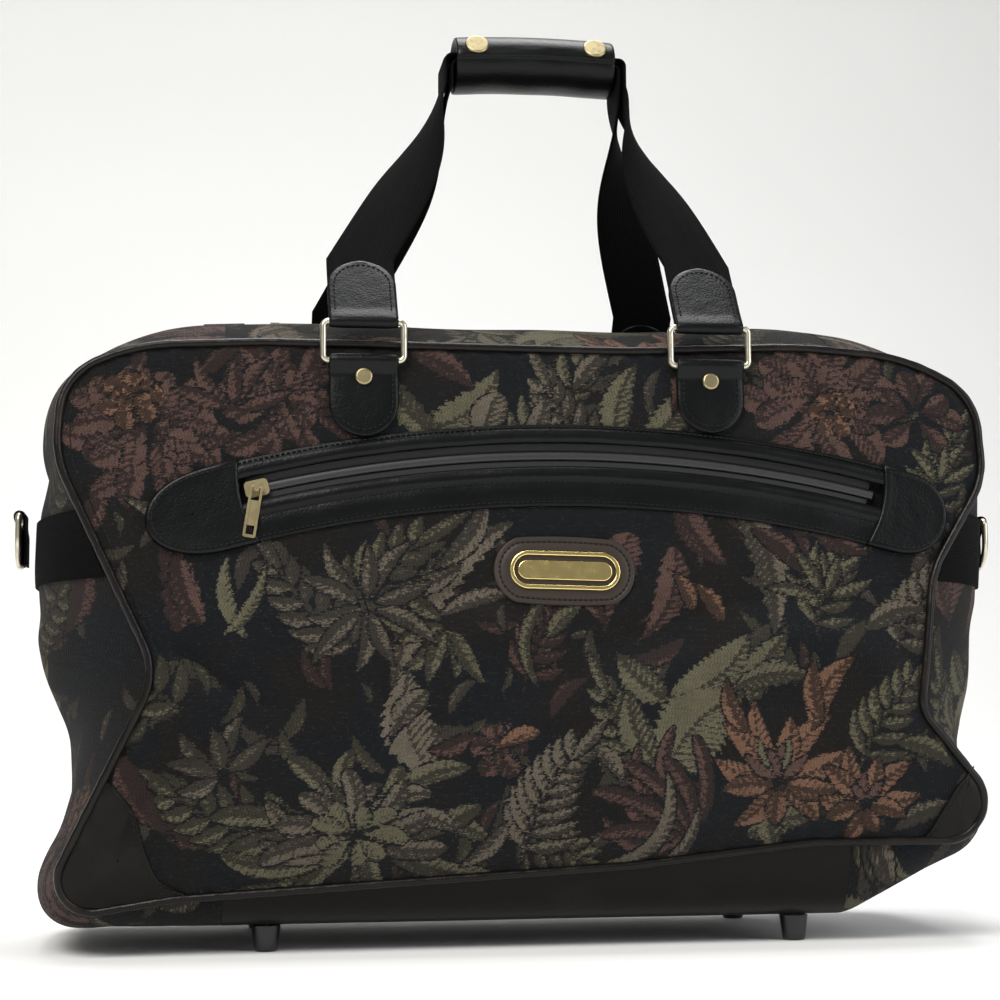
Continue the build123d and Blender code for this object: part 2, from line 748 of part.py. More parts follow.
def upper_tab(x):
    """The arched tab that joins a strap's end to a ring."""
    tab_plane = Plane(
        (x, -ring_bar_y, ring_bar_z + ring_rise), x_dir=(1, 0, 0), z_dir=(0, -cos(tab_lean), sin(tab_lean))
    )
    thickness = webbing + 2 * snug_gap + 2 * upper_tab_layer
    arch = webbing_width / 2
    shoulder = upper_tab_length - arch / 2
    with BuildPart() as tab:
        with BuildSketch(tab_plane.offset(-thickness / 2)) as face:
            with BuildLine():
                Polyline((-arch, shoulder), (-arch, 0), (arch, 0), (arch, shoulder))
                ThreePointArc((arch, shoulder), (0, upper_tab_length), (-arch, shoulder))
            make_face()
        extrude(face.sketch, amount=thickness)
        bar_loop(x, ring_bar_z + ring_rise)
        with BuildSketch(tab_plane.offset(-webbing / 2 - snug_gap)) as slot:
            with Locations((0, loop_radius + upper_tab_length)):
                Rectangle(2 * webbing_width, 2 * upper_tab_length)
        extrude(slot.sketch, amount=webbing + 2 * snug_gap, mode=Mode.SUBTRACT)
        bar_loop(x, ring_bar_z + ring_rise, Mode.SUBTRACT, bore_radius)
    return tab.part


def handle_ring(x):
    """A rectangular wire ring standing over the seam."""
    half_width = (ring_inner_width + ring_wire) / 2
    with BuildPart() as ring:
        with BuildLine(Plane.XZ.offset(ring_bar_y)) as loop:
            FilletPolyline(
                (x - half_width, ring_bar_z),
                (x + half_width, ring_bar_z),
                (x + half_width, ring_bar_z + ring_rise),
                (x - half_width, ring_bar_z + ring_rise),
                radius=ring_corner,
                close=True,
            )
        with BuildSketch(Plane.YZ.offset(x)) as wire:
            with Locations((-ring_bar_y, ring_bar_z)):
                Circle(ring_wire / 2)
        sweep(wire.sketch, path=loop.wire())
    return ring.part


for end, side in (("left", -1), ("right", 1)):
    x = side * handle_half_spacing
    for name, make in (("lower_tab", lower_tab), ("upper_tab", upper_tab), ("handle_ring", handle_ring)):
        with BuildPart() as front_piece:
            add(make(x))
        finish(front_piece, f"{name}_front_{end}")
        with BuildPart() as rear_piece:
            mirror(front_piece.part, about=Plane.XZ)
        finish(rear_piece, f"{name}_rear_{end}")

with BuildPart() as tab_rivets:
    for side in (-1, 1):
        rivet_place = Plane(front_plane * Location((side * handle_half_spacing, -rivet_drop, 0)))
        with BuildSketch(rivet_place.offset(-cloth - seam_gap)) as shank:
            Circle(rivet_shank - snug_gap)
        extrude(shank.sketch, amount=cloth + 2 * seam_gap + lower_tab_thickness)
        with BuildSketch(rivet_place.offset(seam_gap + lower_tab_thickness)) as head:
            Circle(rivet_radius)
        extrude(head.sketch, amount=rivet_height)
        with BuildSketch(rivet_place.offset(-cloth - seam_gap - 1)) as tail:
            Circle(rivet_radius - 1)
        extrude(tail.sketch, amount=1)
    fillet(tab_rivets.edges().group_by(face_axis)[-1], rivet_edge)
    mirror(about=Plane.XZ)
finish(tab_rivets, "tab_rivets")


# ---- handle straps: one webbing loop in front and one behind, joined in the grip ---------
def strap(nesting, twist):
    """A webbing strap: leaning ends, twisted legs, and a level stretch through the grip."""
    half_span = grip_length / 2 + webbing + nesting
    level_z = grip_z + webbing / 2 + 0.5 - (strap_nesting - nesting)
    with BuildPart() as band:
        for side in (-1, 1):
            start = Vector(side * handle_half_spacing, -ring_bar_y, ring_bar_z + ring_rise)
            up_lean = Vector(0, sin(tab_lean), cos(tab_lean))
            tab_top = start + up_lean * (upper_tab_length + loop_radius)
            leg_top = Vector(grip_shift + side * half_span, 0, leg_top_z)
            foot = start + up_lean * (loop_radius + end_clearance)
            with BuildSketch(Plane(foot, x_dir=(1, 0, 0), z_dir=up_lean)) as end:
                Rectangle(webbing_width, webbing)
            extrude(end.sketch, amount=upper_tab_length - end_clearance)
            sections = []
            for step in range(leg_twist_steps + 1):
                share = step / leg_twist_steps
                turn = radians(90 * share)
                across = Vector(cos(turn), side * twist * sin(turn), 0)
                heading = up_lean * (1 - share) + Vector(0, 0, 1) * share
                across = across - heading * (across.dot(heading) / heading.dot(heading))
                middle = tab_top + (leg_top - tab_top) * share
                with BuildSketch(Plane(middle, x_dir=across, z_dir=heading)) as cut:
                    Rectangle(webbing_width, webbing)
                sections += cut.sketch.faces()
            loft(sections)
        with BuildSketch(Plane.XZ.offset(-webbing_width / 2)) as arch:
            with BuildLine():
                for grow in (webbing / 2, -webbing / 2):
                    FilletPolyline(
                        (grip_shift - half_span - grow, leg_top_z),
                        (grip_shift - half_span - grow, level_z + grow),
                        (grip_shift + half_span + grow, level_z + grow),
                        (grip_shift + half_span + grow, leg_top_z),
                        radius=strap_bend + grow,
                    )
                for side in (-1, 1):
                    edge = grip_shift + side * half_span
                    Line((edge - webbing / 2, leg_top_z), (edge + webbing / 2, leg_top_z))
            make_face()
        extrude(arch.sketch, amount=webbing_width)
    return band.part


with BuildPart() as front_strap:
    add(strap(strap_nesting, 1))
finish(front_strap, "front_strap")

with BuildPart() as rear_strap:
    mirror(strap(0, -1), about=Plane.XZ)
finish(rear_strap, "rear_strap")

snap_normal = Vector(0, -cos(snap_angle) / grip_half_depth, sin(snap_angle) / grip_half_height).normalized()
snap_middle = Vector(
    grip_shift, -grip_half_depth * cos(snap_angle), grip_z + grip_half_height * sin(snap_angle)
)
snap_plane = Plane(snap_middle, x_dir=(1, 0, 0), z_dir=snap_normal).offset(-snap_seat)
snap_axis = Axis((0, 0, 0), snap_normal)

with BuildPart() as grip_wrap:
    with BuildSketch(Plane.YZ.offset(grip_shift - grip_length / 2)) as sleeve:
        with Locations((0, grip_z)):
            Ellipse(grip_half_depth, grip_half_height)
            Ellipse(grip_half_depth - grip_wall, grip_half_height - grip_wall, mode=Mode.SUBTRACT)
    extrude(sleeve.sketch, amount=grip_length)
    with BuildSketch(snap_plane) as seats:
        with GridLocations(snap_spacing, 1, 2, 1):
            Circle(snap_radius + snug_gap)
    extrude(seats.sketch, amount=5, mode=Mode.SUBTRACT)
finish(grip_wrap, "grip_wrap")

with BuildPart() as snap_caps:
    with BuildSketch(snap_plane):
        with GridLocations(snap_spacing, 1, 2, 1):
            Circle(snap_radius)
    extrude(amount=snap_height)
    fillet(snap_caps.faces().filter_by(GeomType.PLANE).group_by(snap_axis)[-1].edges(), snap_edge)
finish(snap_caps, "snap_caps")

# ---- sides: webbing bands, D-rings and their loops ----------------------------------------
with BuildPart() as side_band_right:
    gusset_shell(side_band + seam_gap, side_band)
    with BuildSketch(Plane.XY.offset(side_band_low)) as slab:
        Rectangle(1000, 1000)
    extrude(slab.sketch, amount=side_band_high - side_band_low, mode=Mode.INTERSECT)

band_faces = side_band_right.part.bounding_box()
d_ring_x = band_faces.max.X + d_ring_stand_off - side_band - seam_gap


with BuildPart() as d_ring_loop_right:
    sleeve_radius = d_ring_wire / 2 + pivot_clearance + vinyl
    with BuildSketch(Plane.XZ.offset(-d_ring_loop_width / 2)) as sleeve:
        with Locations((d_ring_x, d_ring_pivot_z)):
            Circle(sleeve_radius)
        leg_x = band_faces.max.X + seam_gap
        with Locations((leg_x + vinyl / 2, d_ring_pivot_z - d_ring_loop_leg / 2)):
            Rectangle(vinyl, d_ring_loop_leg)
        with Locations(((leg_x + d_ring_x) / 2, d_ring_pivot_z)):
            Rectangle(d_ring_x - leg_x, 2 * vinyl)
        with Locations((d_ring_x, d_ring_pivot_z)):
            Circle(d_ring_wire / 2 + pivot_clearance, mode=Mode.SUBTRACT)
    extrude(sleeve.sketch, amount=d_ring_loop_width)

with BuildPart() as d_ring_right:
    half_width = (d_ring_width - d_ring_wire) / 2
    with BuildLine(Plane.YZ.offset(d_ring_x)) as ring_line:
        FilletPolyline(
            (-half_width, d_ring_pivot_z),
            (half_width, d_ring_pivot_z),
            (half_width, d_ring_pivot_z - d_ring_height + d_ring_wire),
            (-half_width, d_ring_pivot_z - d_ring_height + d_ring_wire),
            radius=[ring_corner, ring_corner, half_width - 1, half_width - 1],
            close=True,
        )
    with BuildSketch(Plane.XZ) as wire:
        with Locations((d_ring_x, d_ring_pivot_z)):
            Circle(d_ring_wire / 2)
    sweep(wire.sketch, path=ring_line.wire())

for name, right_piece in (
    ("side_band", side_band_right),
    ("d_ring_loop", d_ring_loop_right),
    ("d_ring", d_ring_right),
):
    finish(right_piece, f"{name}_right")
    with BuildPart() as left_piece:
        mirror(right_piece.part, about=Plane.YZ)
    finish(left_piece, f"{name}_left")
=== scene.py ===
import bpy
import numpy as np
from bpy.props import FloatProperty, FloatVectorProperty, PointerProperty
from mathutils import Matrix, Vector


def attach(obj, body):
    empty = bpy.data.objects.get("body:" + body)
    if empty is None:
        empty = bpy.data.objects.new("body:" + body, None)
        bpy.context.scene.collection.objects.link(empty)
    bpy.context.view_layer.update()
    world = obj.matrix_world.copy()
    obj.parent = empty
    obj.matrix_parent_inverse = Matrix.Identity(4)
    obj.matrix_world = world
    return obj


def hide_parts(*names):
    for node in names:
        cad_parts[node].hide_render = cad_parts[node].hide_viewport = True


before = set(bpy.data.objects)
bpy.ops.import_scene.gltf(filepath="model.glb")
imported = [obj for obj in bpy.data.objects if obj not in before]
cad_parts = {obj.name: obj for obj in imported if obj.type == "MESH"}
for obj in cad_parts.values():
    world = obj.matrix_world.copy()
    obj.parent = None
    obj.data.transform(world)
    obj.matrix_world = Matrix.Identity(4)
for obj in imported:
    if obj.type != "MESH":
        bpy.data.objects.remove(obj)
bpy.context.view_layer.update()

bl_info = {
    "name": "Tapestry travel bag",
    "version": (1, 0, 0),
    "blender": (4, 5, 0),
    "location": "View3D > Sidebar > Bag",
    "description": "Builds the cloth, trim and fittings of a tapestry travel bag around its frame",
    "category": "Add Mesh",
}

MM = 0.001
SIDES = {"left": -1, "right": 1}
FACES = {"front": 1, "rear": -1}

# ---- sizes of the bag, in millimetres, the same as the frame's ------------------------
SEAM_TOP_Z = 330.0
SEAM_TOP_Y = 100.0
LEAN = np.radians(5.33)
LEAN_LENGTH = 150.0
BELLY_RADIUS = 420.0
LEAN_FOOT = (-SEAM_TOP_Y - LEAN_LENGTH * np.sin(LEAN), SEAM_TOP_Z - LEAN_LENGTH * np.cos(LEAN))
BELLY = (LEAN_FOOT[0] + BELLY_RADIUS * np.cos(LEAN), LEAN_FOOT[1] - BELLY_RADIUS * np.sin(LEAN))
FACE_OUT = np.array([0, -np.cos(LEAN), np.sin(LEAN)])
FACE_UP = np.array([0, np.sin(LEAN), np.cos(LEAN)])
FACE_TOP = np.array([0, -SEAM_TOP_Y, SEAM_TOP_Z])
SEAM_SET_BACK = 1.0
ZIP_HALF = 172.0
CROWN = 26.0
BASE_Z = 14.0
POCKET_RADIUS = 730.0
POCKET_X = 15.0
POCKET_DROP = 61.0
RING_Y = 105.2
RING_LOW_Z = 320.5
RING_RISE = 21.5
HANDLE_X = 97.0
TAB_LEAN = np.radians(35)
WEBBING = 38.0
GRIP_X = 14.0
GRIP_Z = 522.0
GRIP_HALF = 48.5
LEG_TOP_Z = 507.0
HIGH_TAB = 46.0
D_RING_X = 287.98
D_RING_Z = 243.0

# The front's edge, along the piping, clockwise: each corner's place and the radius of its arc.
OUTLINE = [
    (-150, 331, 400), (50, 329, 700), (150, 333, 300), (212, 328, 110), (252, 306, 34), (254, 258, 45),
    (221, 205, 60), (211, 128, 20), (271, 56, 21), (150, 56, 150), (50, 45, 300), (-198, 31, 60),
    (-271, 20, 18), (-207, 150, 36), (-262, 266, 60), (-259, 310, 34), (-222, 328, 110),
]
CORNERS = {"top_left": (-247, 313), "top_right": (243, 307), "low_right": (245, 69), "low_left": (-253, 31)}

# Round each end: share of the seam, angle of the bow above level, its height, its fullness.
END_BOW = np.array([
    (0, 90, 26, 2), (0.045, 90, 25, 2), (0.10, 67, 19, 2), (0.153, 45, 14, 2), (0.21, 22, 12, 2),
    (0.262, 0, 14, 2), (0.317, 0, 24, 2.2), (0.37, 0, 38, 2.4), (0.42, 0, 47, 2.5), (0.478, 0, 54, 2.5),
    (0.544, 0, 56, 2.4), (0.61, 0, 41, 2.3), (0.69, 0, 19, 2.2), (0.75, 0, 9, 2.2), (0.785, -25, 9, 2.6),
    (0.815, -60, 13, 4), (0.85, -90, 17, 7), (0.92, -90, 19, 10), (1, -90, 20, 12),
])
# The end's middle line by height: how far out it stands.
END_MIDDLE = ((90, 257), (121, 261), (150, 269), (178, 275), (210, 277), (243, 276), (262, 270), (285, 262))

# The lower corners' patches: where each meets the edge, and its curved inner side.
CORNER_PATCHES = {
    "left": ((-190, 31), (-234, 96), ((-190, 33), (-204, 40), (-213, 58), (-219, 78), (-232, 94))),
    "right": ((242, 98), (212, 55), ((242, 98), (228, 82), (216, 62), (212, 55))),
}

# Folds of the front: a line across it, half width, and depth (out is positive).
FOLDS = [
    (((-14, 226), (-34, 206), (-60, 186), (-80, 160), (-88, 140), (-80, 122)), 9, -9),
    (((-2, 216), (-24, 190), (-44, 164), (-58, 140)), 12, 5),
    (((-228, 166), (-208, 163), (-186, 155), (-162, 138), (-140, 130)), 8, -7),
    (((-222, 150), (-190, 138), (-165, 118)), 12, 5),
    (((-160, 136), (-182, 108), (-206, 88), (-236, 66)), 15, -9),
    (((-40, 108), (-10, 120), (20, 134), (56, 144), (90, 158), (124, 168), (160, 168), (192, 148),
      (208, 118)), 14, 6),
    (((20, 158), (60, 172), (110, 188), (160, 190)), 14, -4),
    (((-250, 100), (-228, 112), (-204, 112)), 7, -5),
    (((60, 120), (110, 132), (160, 130)), 13, -4),
    (((-130, 60), (-100, 80), (-60, 90), (-20, 84)), 14, 4),
    (((-140, 190), (-120, 172), (-108, 146)), 11, 4),
    (((30, 70), (70, 86), (120, 88), (170, 76)), 14, 4),
    (((-196, 312), (-170, 296), (-150, 288)), 10, -3),
    (((128, 318), (152, 300), (190, 290)), 11, -3),
    (((222, 240), (206, 214), (196, 186)), 8, -4),
    (((-236, 224), (-214, 206), (-196, 180)), 8, -3),
]


# Sections of the pocket's two strips: height from the zip's middle line, and how far each stands out.
POCKET_STRIPS = {
    "low": (
        (-29, 0.1), (-29, 1.4), (-28.3, 1.9), (-26.5, 1.7), (-25.2, 2.0), (-20, 2.2), (-16, 2.0), (-15, 1.7),
        (-14.3, 2.8), (-12.4, 3.6), (-9.6, 3.5), (-7.6, 2.7), (-6.6, 1.6), (-6.4, 0.3),
    ),
    "high": (
        (6.4, 0.3), (6.6, 1.6), (7.4, 2.6), (9.4, 3.2), (12, 3.2), (14, 2.6), (14.8, 1.6), (16.4, 1.8),
        (17, 1.4), (17, 0.1),
    ),
}
POCKET_CAP_REACH = {"left": 44, "right": 29}
POCKET_CAP_HALF = 23.6
BADGE_PLACE = (12.0, -126.0)
BADGE_TURN = np.radians(-1.5)
# The badge patch's rings, outer to middle: length, height, and how far each stands out.
BADGE_RINGS = (
    (78, 38, 0), (78, 38, 1.1), (77, 37, 1.7), (75.5, 35.5, 1.8), (73.6, 33.6, 1.75), (72.4, 32.4, 1.25),
    (71.4, 31.4, 1.2), (70.2, 30.2, 1.75), (66, 26, 1.8), (48, 12, 1.8), (36.5, 0.5, 1.8),
)
LOW_TAB_REACH = {"left": 42.1, "right": 38.1}
STRAP_NESTING = 3.8
STRAP_THICK = 2.5
LOOP_WIDTH = 27.0
LOOP_LEG = 28.0
BAND_LOW, BAND_HIGH = 200, 238
MAIN_ZIP_Z = 352.0
ZIP_REACH = 168


# ---- curves and surfaces ----------------------------------------------------------------
def smooth_step(value):
    """0 below 0, 1 above 1, and 3t^2 - 2t^3 between."""
    t = np.clip(value, 0, 1)
    return t * t * (3 - 2 * t)


def even_steps(points, count, closed=False):
    """Places along a polyline, evenly spaced by length."""
    run = np.concatenate([[0], np.cumsum(np.linalg.norm(np.diff(points, axis=0), axis=1))])
    at = np.linspace(0, run[-1], count, endpoint=not closed)
    return np.stack([np.interp(at, run, axis) for axis in points.T], axis=1)


def spline(points, count):
    """A cubic through the points (each span blends its four nearest), stepped evenly by length."""
    p = np.asarray(points, float)
    p = np.vstack([2 * p[0] - p[1], p, 2 * p[-1] - p[-2]])
    t = np.linspace(0, 1, 24, endpoint=False)[:, None]
    a, b, c, d = (p[i : len(p) - 3 + i, None] for i in range(4))
    square, cube = 2 * a - 5 * b + 4 * c - d, 3 * b - a - 3 * c + d
    dense = 0.5 * (2 * b + (c - a) * t + square * t**2 + cube * t**3)
    return even_steps(np.vstack([dense.reshape(-1, p.shape[1]), p[-2]]), count)


def face_y(z, out=0.0):
    """Y of the plain front at a height: a sloping line, then an arc of the belly's radius."""
    z = np.asarray(z, float)
    slope = -SEAM_TOP_Y - (SEAM_TOP_Z - z) * np.tan(LEAN) - out / np.cos(LEAN)
    arc = BELLY[0] - np.sqrt(np.maximum((BELLY_RADIUS + out) ** 2 - (BELLY[1] - z) ** 2, 1))
    return np.where(z >= LEAN_FOOT[1], slope, arc)


def line_distance(x, z, line):
    """Distance from each point to a polyline, and the share of the line at the nearest place."""
    best = np.full(x.shape, 1e9)
    share = np.zeros(x.shape)
    line = spline(line, 14)
    for i, ((ax, az), (bx, bz)) in enumerate(zip(line[:-1], line[1:])):
        dx, dz = bx - ax, bz - az
        t = np.clip(((x - ax) * dx + (z - az) * dz) / (dx * dx + dz * dz), 0, 1)
        gap = np.hypot(x - ax - t * dx, z - az - t * dz)
        nearer = gap < best
        best = np.where(nearer, gap, best)
        share = np.where(nearer, (i + t) / (len(line) - 1), share)
    return best, share


def band_low_z(x):
    """Height of the pocket band's lower edge: a parabola close to its arc."""
    return 239.0 - (x - POCKET_X) ** 2 / 1448.0


def front_bulge(x, z):
    """How far the cloth stands out from the plain front: folds, each a bell across a line."""
    depth = bpy.context.scene.bag_cloth.fold_depth
    out = np.zeros(np.broadcast(x, z).shape)
    for line, width, height in FOLDS:
        low, high = np.min(line, axis=0) - 4 * width, np.max(line, axis=0) + 4 * width
        near = (x > low[0]) & (x < high[0]) & (z > low[1]) & (z < high[1])
        gap, share = line_distance(x[near], z[near], line)
        taper = np.sin(np.pi * np.clip(share * 0.92 + 0.04, 0, 1)) ** 0.6
        sharp = 1.25 if height < 0 else 1.9
        out[near] += height * depth * taper * np.exp(-((gap / width) ** sharp))
    out += 5.0 * np.exp(-(((x - 70) / 130) ** 2) - ((z - 100) / 55) ** 2)
    out += 4.0 * np.exp(-(((x + 110) / 70) ** 2) - ((z - 70) / 40) ** 2)
    out += 0.9 * np.sin(x / 21 + 1.3 * np.sin(z / 33)) * np.sin(z / 17 + np.sin(x / 47))
    plain_band = smooth_step((band_low_z(x) - z) / 12) + smooth_step((z - band_low_z(x) - 52) / 14) * 0.5
    badge = smooth_step((np.hypot((x - 12) / 45, (z - 204) / 24) - 1) / 0.5)
    tabs = smooth_step((np.abs(np.abs(x) - HANDLE_X) - 20) / 12) + (z < 262)
    return out * plain_band * badge * np.clip(tabs, 0, 1)


def edge_loop(count):
    """The front's edge as one closed loop: straight runs, and an arc in place of each corner.

    An arc of a radius starts radius / tan(half the corner's angle) before its corner.
    """
    corners = np.array(OUTLINE, float)
    place, radius = corners[:, :2], corners[:, 2:]
    back = unit(np.roll(place, 1, axis=0) - place)
    ahead = unit(np.roll(place, -1, axis=0) - place)
    half = np.arccos(np.sum(back * ahead, axis=1, keepdims=True)) / 2
    middle = place + unit(back + ahead) * radius / np.sin(half)
    first = place + back * radius / np.tan(half) - middle
    last = place + ahead * radius / np.tan(half) - middle
    sweep = np.pi - 2 * half
    t = np.linspace(0, 1, 40)
    from_first, from_last = np.sin((1 - t) * sweep) / np.sin(sweep), np.sin(t * sweep) / np.sin(sweep)
    arcs = middle[:, None] + first[:, None] * from_first[..., None] + last[:, None] * from_last[..., None]
    loop = arcs.reshape(-1, 2)
    return even_steps(np.vstack([loop, loop[:1]]), count, closed=True)


def edge_gap(x, z, reach=30.0):
    """Distance from each point to the front's edge, up to a reach."""
    loop = edge_loop(700)
    flat_x, flat_z = x.ravel(), z.ravel()
    gap = np.empty(flat_x.shape)
    for start in range(0, len(flat_x), 4000):
        part = slice(start, start + 4000)
        square = (flat_x[part, None] - loop[:, 0]) ** 2 + (flat_z[part, None] - loop[:, 1]) ** 2
        gap[part] = np.sqrt(square.min(axis=1))
    return np.minimum(gap.reshape(x.shape), reach)


def front_y(x, z, gap=None):
    """Y of the sculpted front: the plain face, its folds, and the dip and puckers at the seam."""
    gap = edge_gap(x, z) if gap is None else gap
    free = smooth_step(gap / 24)
    pucker = 0.8 * np.exp(-gap / 8) * np.sin((x + z * 0.6) / 2.6) * smooth_step(gap / 3)
    dip = (SEAM_SET_BACK + 0.8) * np.exp(-((gap / 5) ** 2))
    return face_y(z) + dip - front_bulge(x, z) * free + pucker


def loop_piece(loop, start, end, count):
    """Part of a closed loop from the place nearest start to the place nearest end."""
    first = np.argmin(np.hypot(*(loop - start).T))
    last = np.argmin(np.hypot(*(loop - end).T))
    if last <= first:
        last += len(loop)
    return even_steps(np.vstack([loop, loop])[first : last + 1], count)


def edge_patch(columns, rows):
    """A grid over the front: each point blends the four edges it lies between (a Coons patch)."""
    loop = edge_loop(4000)
    top = loop_piece(loop, CORNERS["top_left"], CORNERS["top_right"], columns)
    right = loop_piece(loop, CORNERS["top_right"], CORNERS["low_right"], rows)[::-1]
    low = loop_piece(loop, CORNERS["low_right"], CORNERS["low_left"], columns)[::-1]
    left = loop_piece(loop, CORNERS["low_left"], CORNERS["top_left"], rows)
    u = np.linspace(0, 1, columns)[None, :, None]
    v = np.linspace(0, 1, rows)[:, None, None]
    ruled = (1 - v) * low[None] + v * top[None] + (1 - u) * left[:, None] + u * right[:, None]
    corners = (1 - u) * (1 - v) * low[0] + u * (1 - v) * low[-1] + (1 - u) * v * top[0] + u * v * top[-1]
    return ruled - corners


# ---- meshes ---------------------------------------------------------------------------
def make_mesh(name, points, quads, material, smooth=True, attributes=None, outwards=False):
    """A mesh object from points in millimetres and faces of four corners (three if -1 ends one)."""
    points = np.asarray(points, float).reshape(-1, 3) * MM
    quads = np.asarray(quads, int)
    if outwards:
        a, b, c = (points[quads[:, i]] for i in range(3))
        d = points[np.where(quads[:, 3] < 0, quads[:, 2], quads[:, 3])]
        middle = points.mean(axis=0)
        volume = np.einsum("ij,ij->i", a - middle, np.cross(b - middle, c - middle)).sum()
        volume += np.einsum("ij,ij->i", a - middle, np.cross(c - middle, d - middle)).sum()
        if volume < 0:
            flipped = quads[:, ::-1].copy()
            triangles = quads[:, 3] < 0
            flipped[triangles] = quads[triangles][:, [2, 1, 0, 3]]
            quads = flipped
    sizes = np.where(quads[:, 3] < 0, 3, 4)
    corners = quads[quads >= 0]
    mesh = bpy.data.meshes.new(name)
    mesh.vertices.add(len(points))
    mesh.vertices.foreach_set("co", points.astype(np.float32).ravel())
    mesh.loops.add(len(corners))
    mesh.loops.foreach_set("vertex_index", corners.astype(np.int32))
    mesh.polygons.add(len(quads))
    mesh.polygons.foreach_set("loop_start", np.concatenate([[0], np.cumsum(sizes)[:-1]]).astype(np.int32))
    mesh.polygons.foreach_set("use_smooth", np.full(len(quads), smooth))
    for label, values in (attributes or {}).items():
        layer = mesh.attributes.new(label, "FLOAT_VECTOR", "POINT")
        layer.data.foreach_set("vector", np.asarray(values, np.float32).ravel())
    mesh.update(calc_edges=True)
    mesh.validate()
    piece = bpy.data.objects.new(name, mesh)
    bpy.context.collection.objects.link(piece)
    mesh.materials.append(material)
    return piece


def grid_quads(rows, columns, round_rows=False, round_columns=False, start=0):
    """Faces of a grid of points; a round direction closes on itself."""
    r = np.arange(rows if round_rows else rows - 1)[:, None]
    c = np.arange(columns if round_columns else columns - 1)[None]
    r2, c2 = (r + 1) % rows, (c + 1) % columns
    corners = [r * columns + c, r * columns + c2, r2 * columns + c2, r2 * columns + c]
    return np.stack([k + start for k in np.broadcast_arrays(*corners)], axis=-1).reshape(-1, 4)


def make_grid(name, grid, material, thread=None, **more):
    """A mesh of one grid of points, with the cloth's own coordinates if given."""
    rows, columns = grid.shape[:2]
    quads = grid_quads(rows, columns, more.pop("round_rows", False), more.pop("round_columns", False))
    if more.pop("turned", False):
        quads = quads[:, ::-1]
    attributes = dict(more.pop("attributes", {}))
    if thread is not None:
        flat = np.zeros(thread.shape[:2] + (1,))
        attributes["thread"] = np.concatenate([thread, flat], axis=2).reshape(-1, 3)
    return make_mesh(name, grid, quads, material, attributes=attributes, **more)


def unit(vectors):
    """Vectors scaled to length one."""
    return vectors / np.maximum(np.linalg.norm(vectors, axis=-1, keepdims=True), 1e-9)


def make_sweep(name, path, across, out, profile, material, closed=False):
    """A closed profile (across, out) carried along a path, with its ends filled unless closed."""
    path, profile = np.asarray(path, float), np.asarray(profile, float)
    if profile.ndim == 2:
        profile = np.broadcast_to(profile, (len(path),) + profile.shape)
    across, out = np.broadcast_to(across, path.shape), np.broadcast_to(out, path.shape)
    grid = path[:, None] + profile[:, :, :1] * across[:, None] + profile[:, :, 1:] * out[:, None]
    rows, columns = grid.shape[:2]
    quads = grid_quads(rows, columns, closed, True)
    points = grid.reshape(-1, 3)
    run = np.concatenate([[0], np.cumsum(np.linalg.norm(np.diff(path, axis=0), axis=1))])
    thread = np.stack([np.repeat(run, columns), profile[:, :, 0].ravel(), np.zeros(rows * columns)], axis=1)
    if not closed:
        around = np.arange(columns)
        following = (around + 1) % columns
        none = np.full(columns, -1)
        ends = []
        for row, middle in ((0, len(points)), (rows - 1, len(points) + 1)):
            pole = np.full(columns, middle)
            pair = (following, around) if row == 0 else (around, following)
            ends.append(np.stack([row * columns + pair[0], row * columns + pair[1], pole, none], axis=1))
        points = np.vstack([points, grid[0].mean(axis=0), grid[-1].mean(axis=0)])
        thread = np.vstack([thread, thread[:1], thread[-1:]])
        quads = np.vstack([quads, *ends])
    return make_mesh(name, points, quads, material, attributes={"thread": thread}, outwards=True)


def round_profile(radius, count=14, flat=1.0):
    """A circle, or an ellipse if flat is under 1."""
    turn = np.linspace(0, 2 * np.pi, count, endpoint=False)
    return radius * np.stack([np.cos(turn), flat * np.sin(turn)], axis=1)


def strap_profile(width, thick, count=9):
    """A flat strip's section with eased edges; width may be one value or one for each step."""
    width = np.atleast_1d(np.asarray(width, float))
    share = np.sin(np.linspace(-np.pi / 2, np.pi / 2, count))
    height = thick / 2 * (1 - 0.75 * np.abs(share) ** 10)
    upper = np.stack([width[:, None] / 2 * share, np.broadcast_to(height, (len(width), count))], axis=2)
    lower = np.stack([upper[:, ::-1, 0], -upper[:, ::-1, 1]], axis=2)
    both = np.concatenate([upper, lower], axis=1)
    return both[0] if len(width) == 1 else both


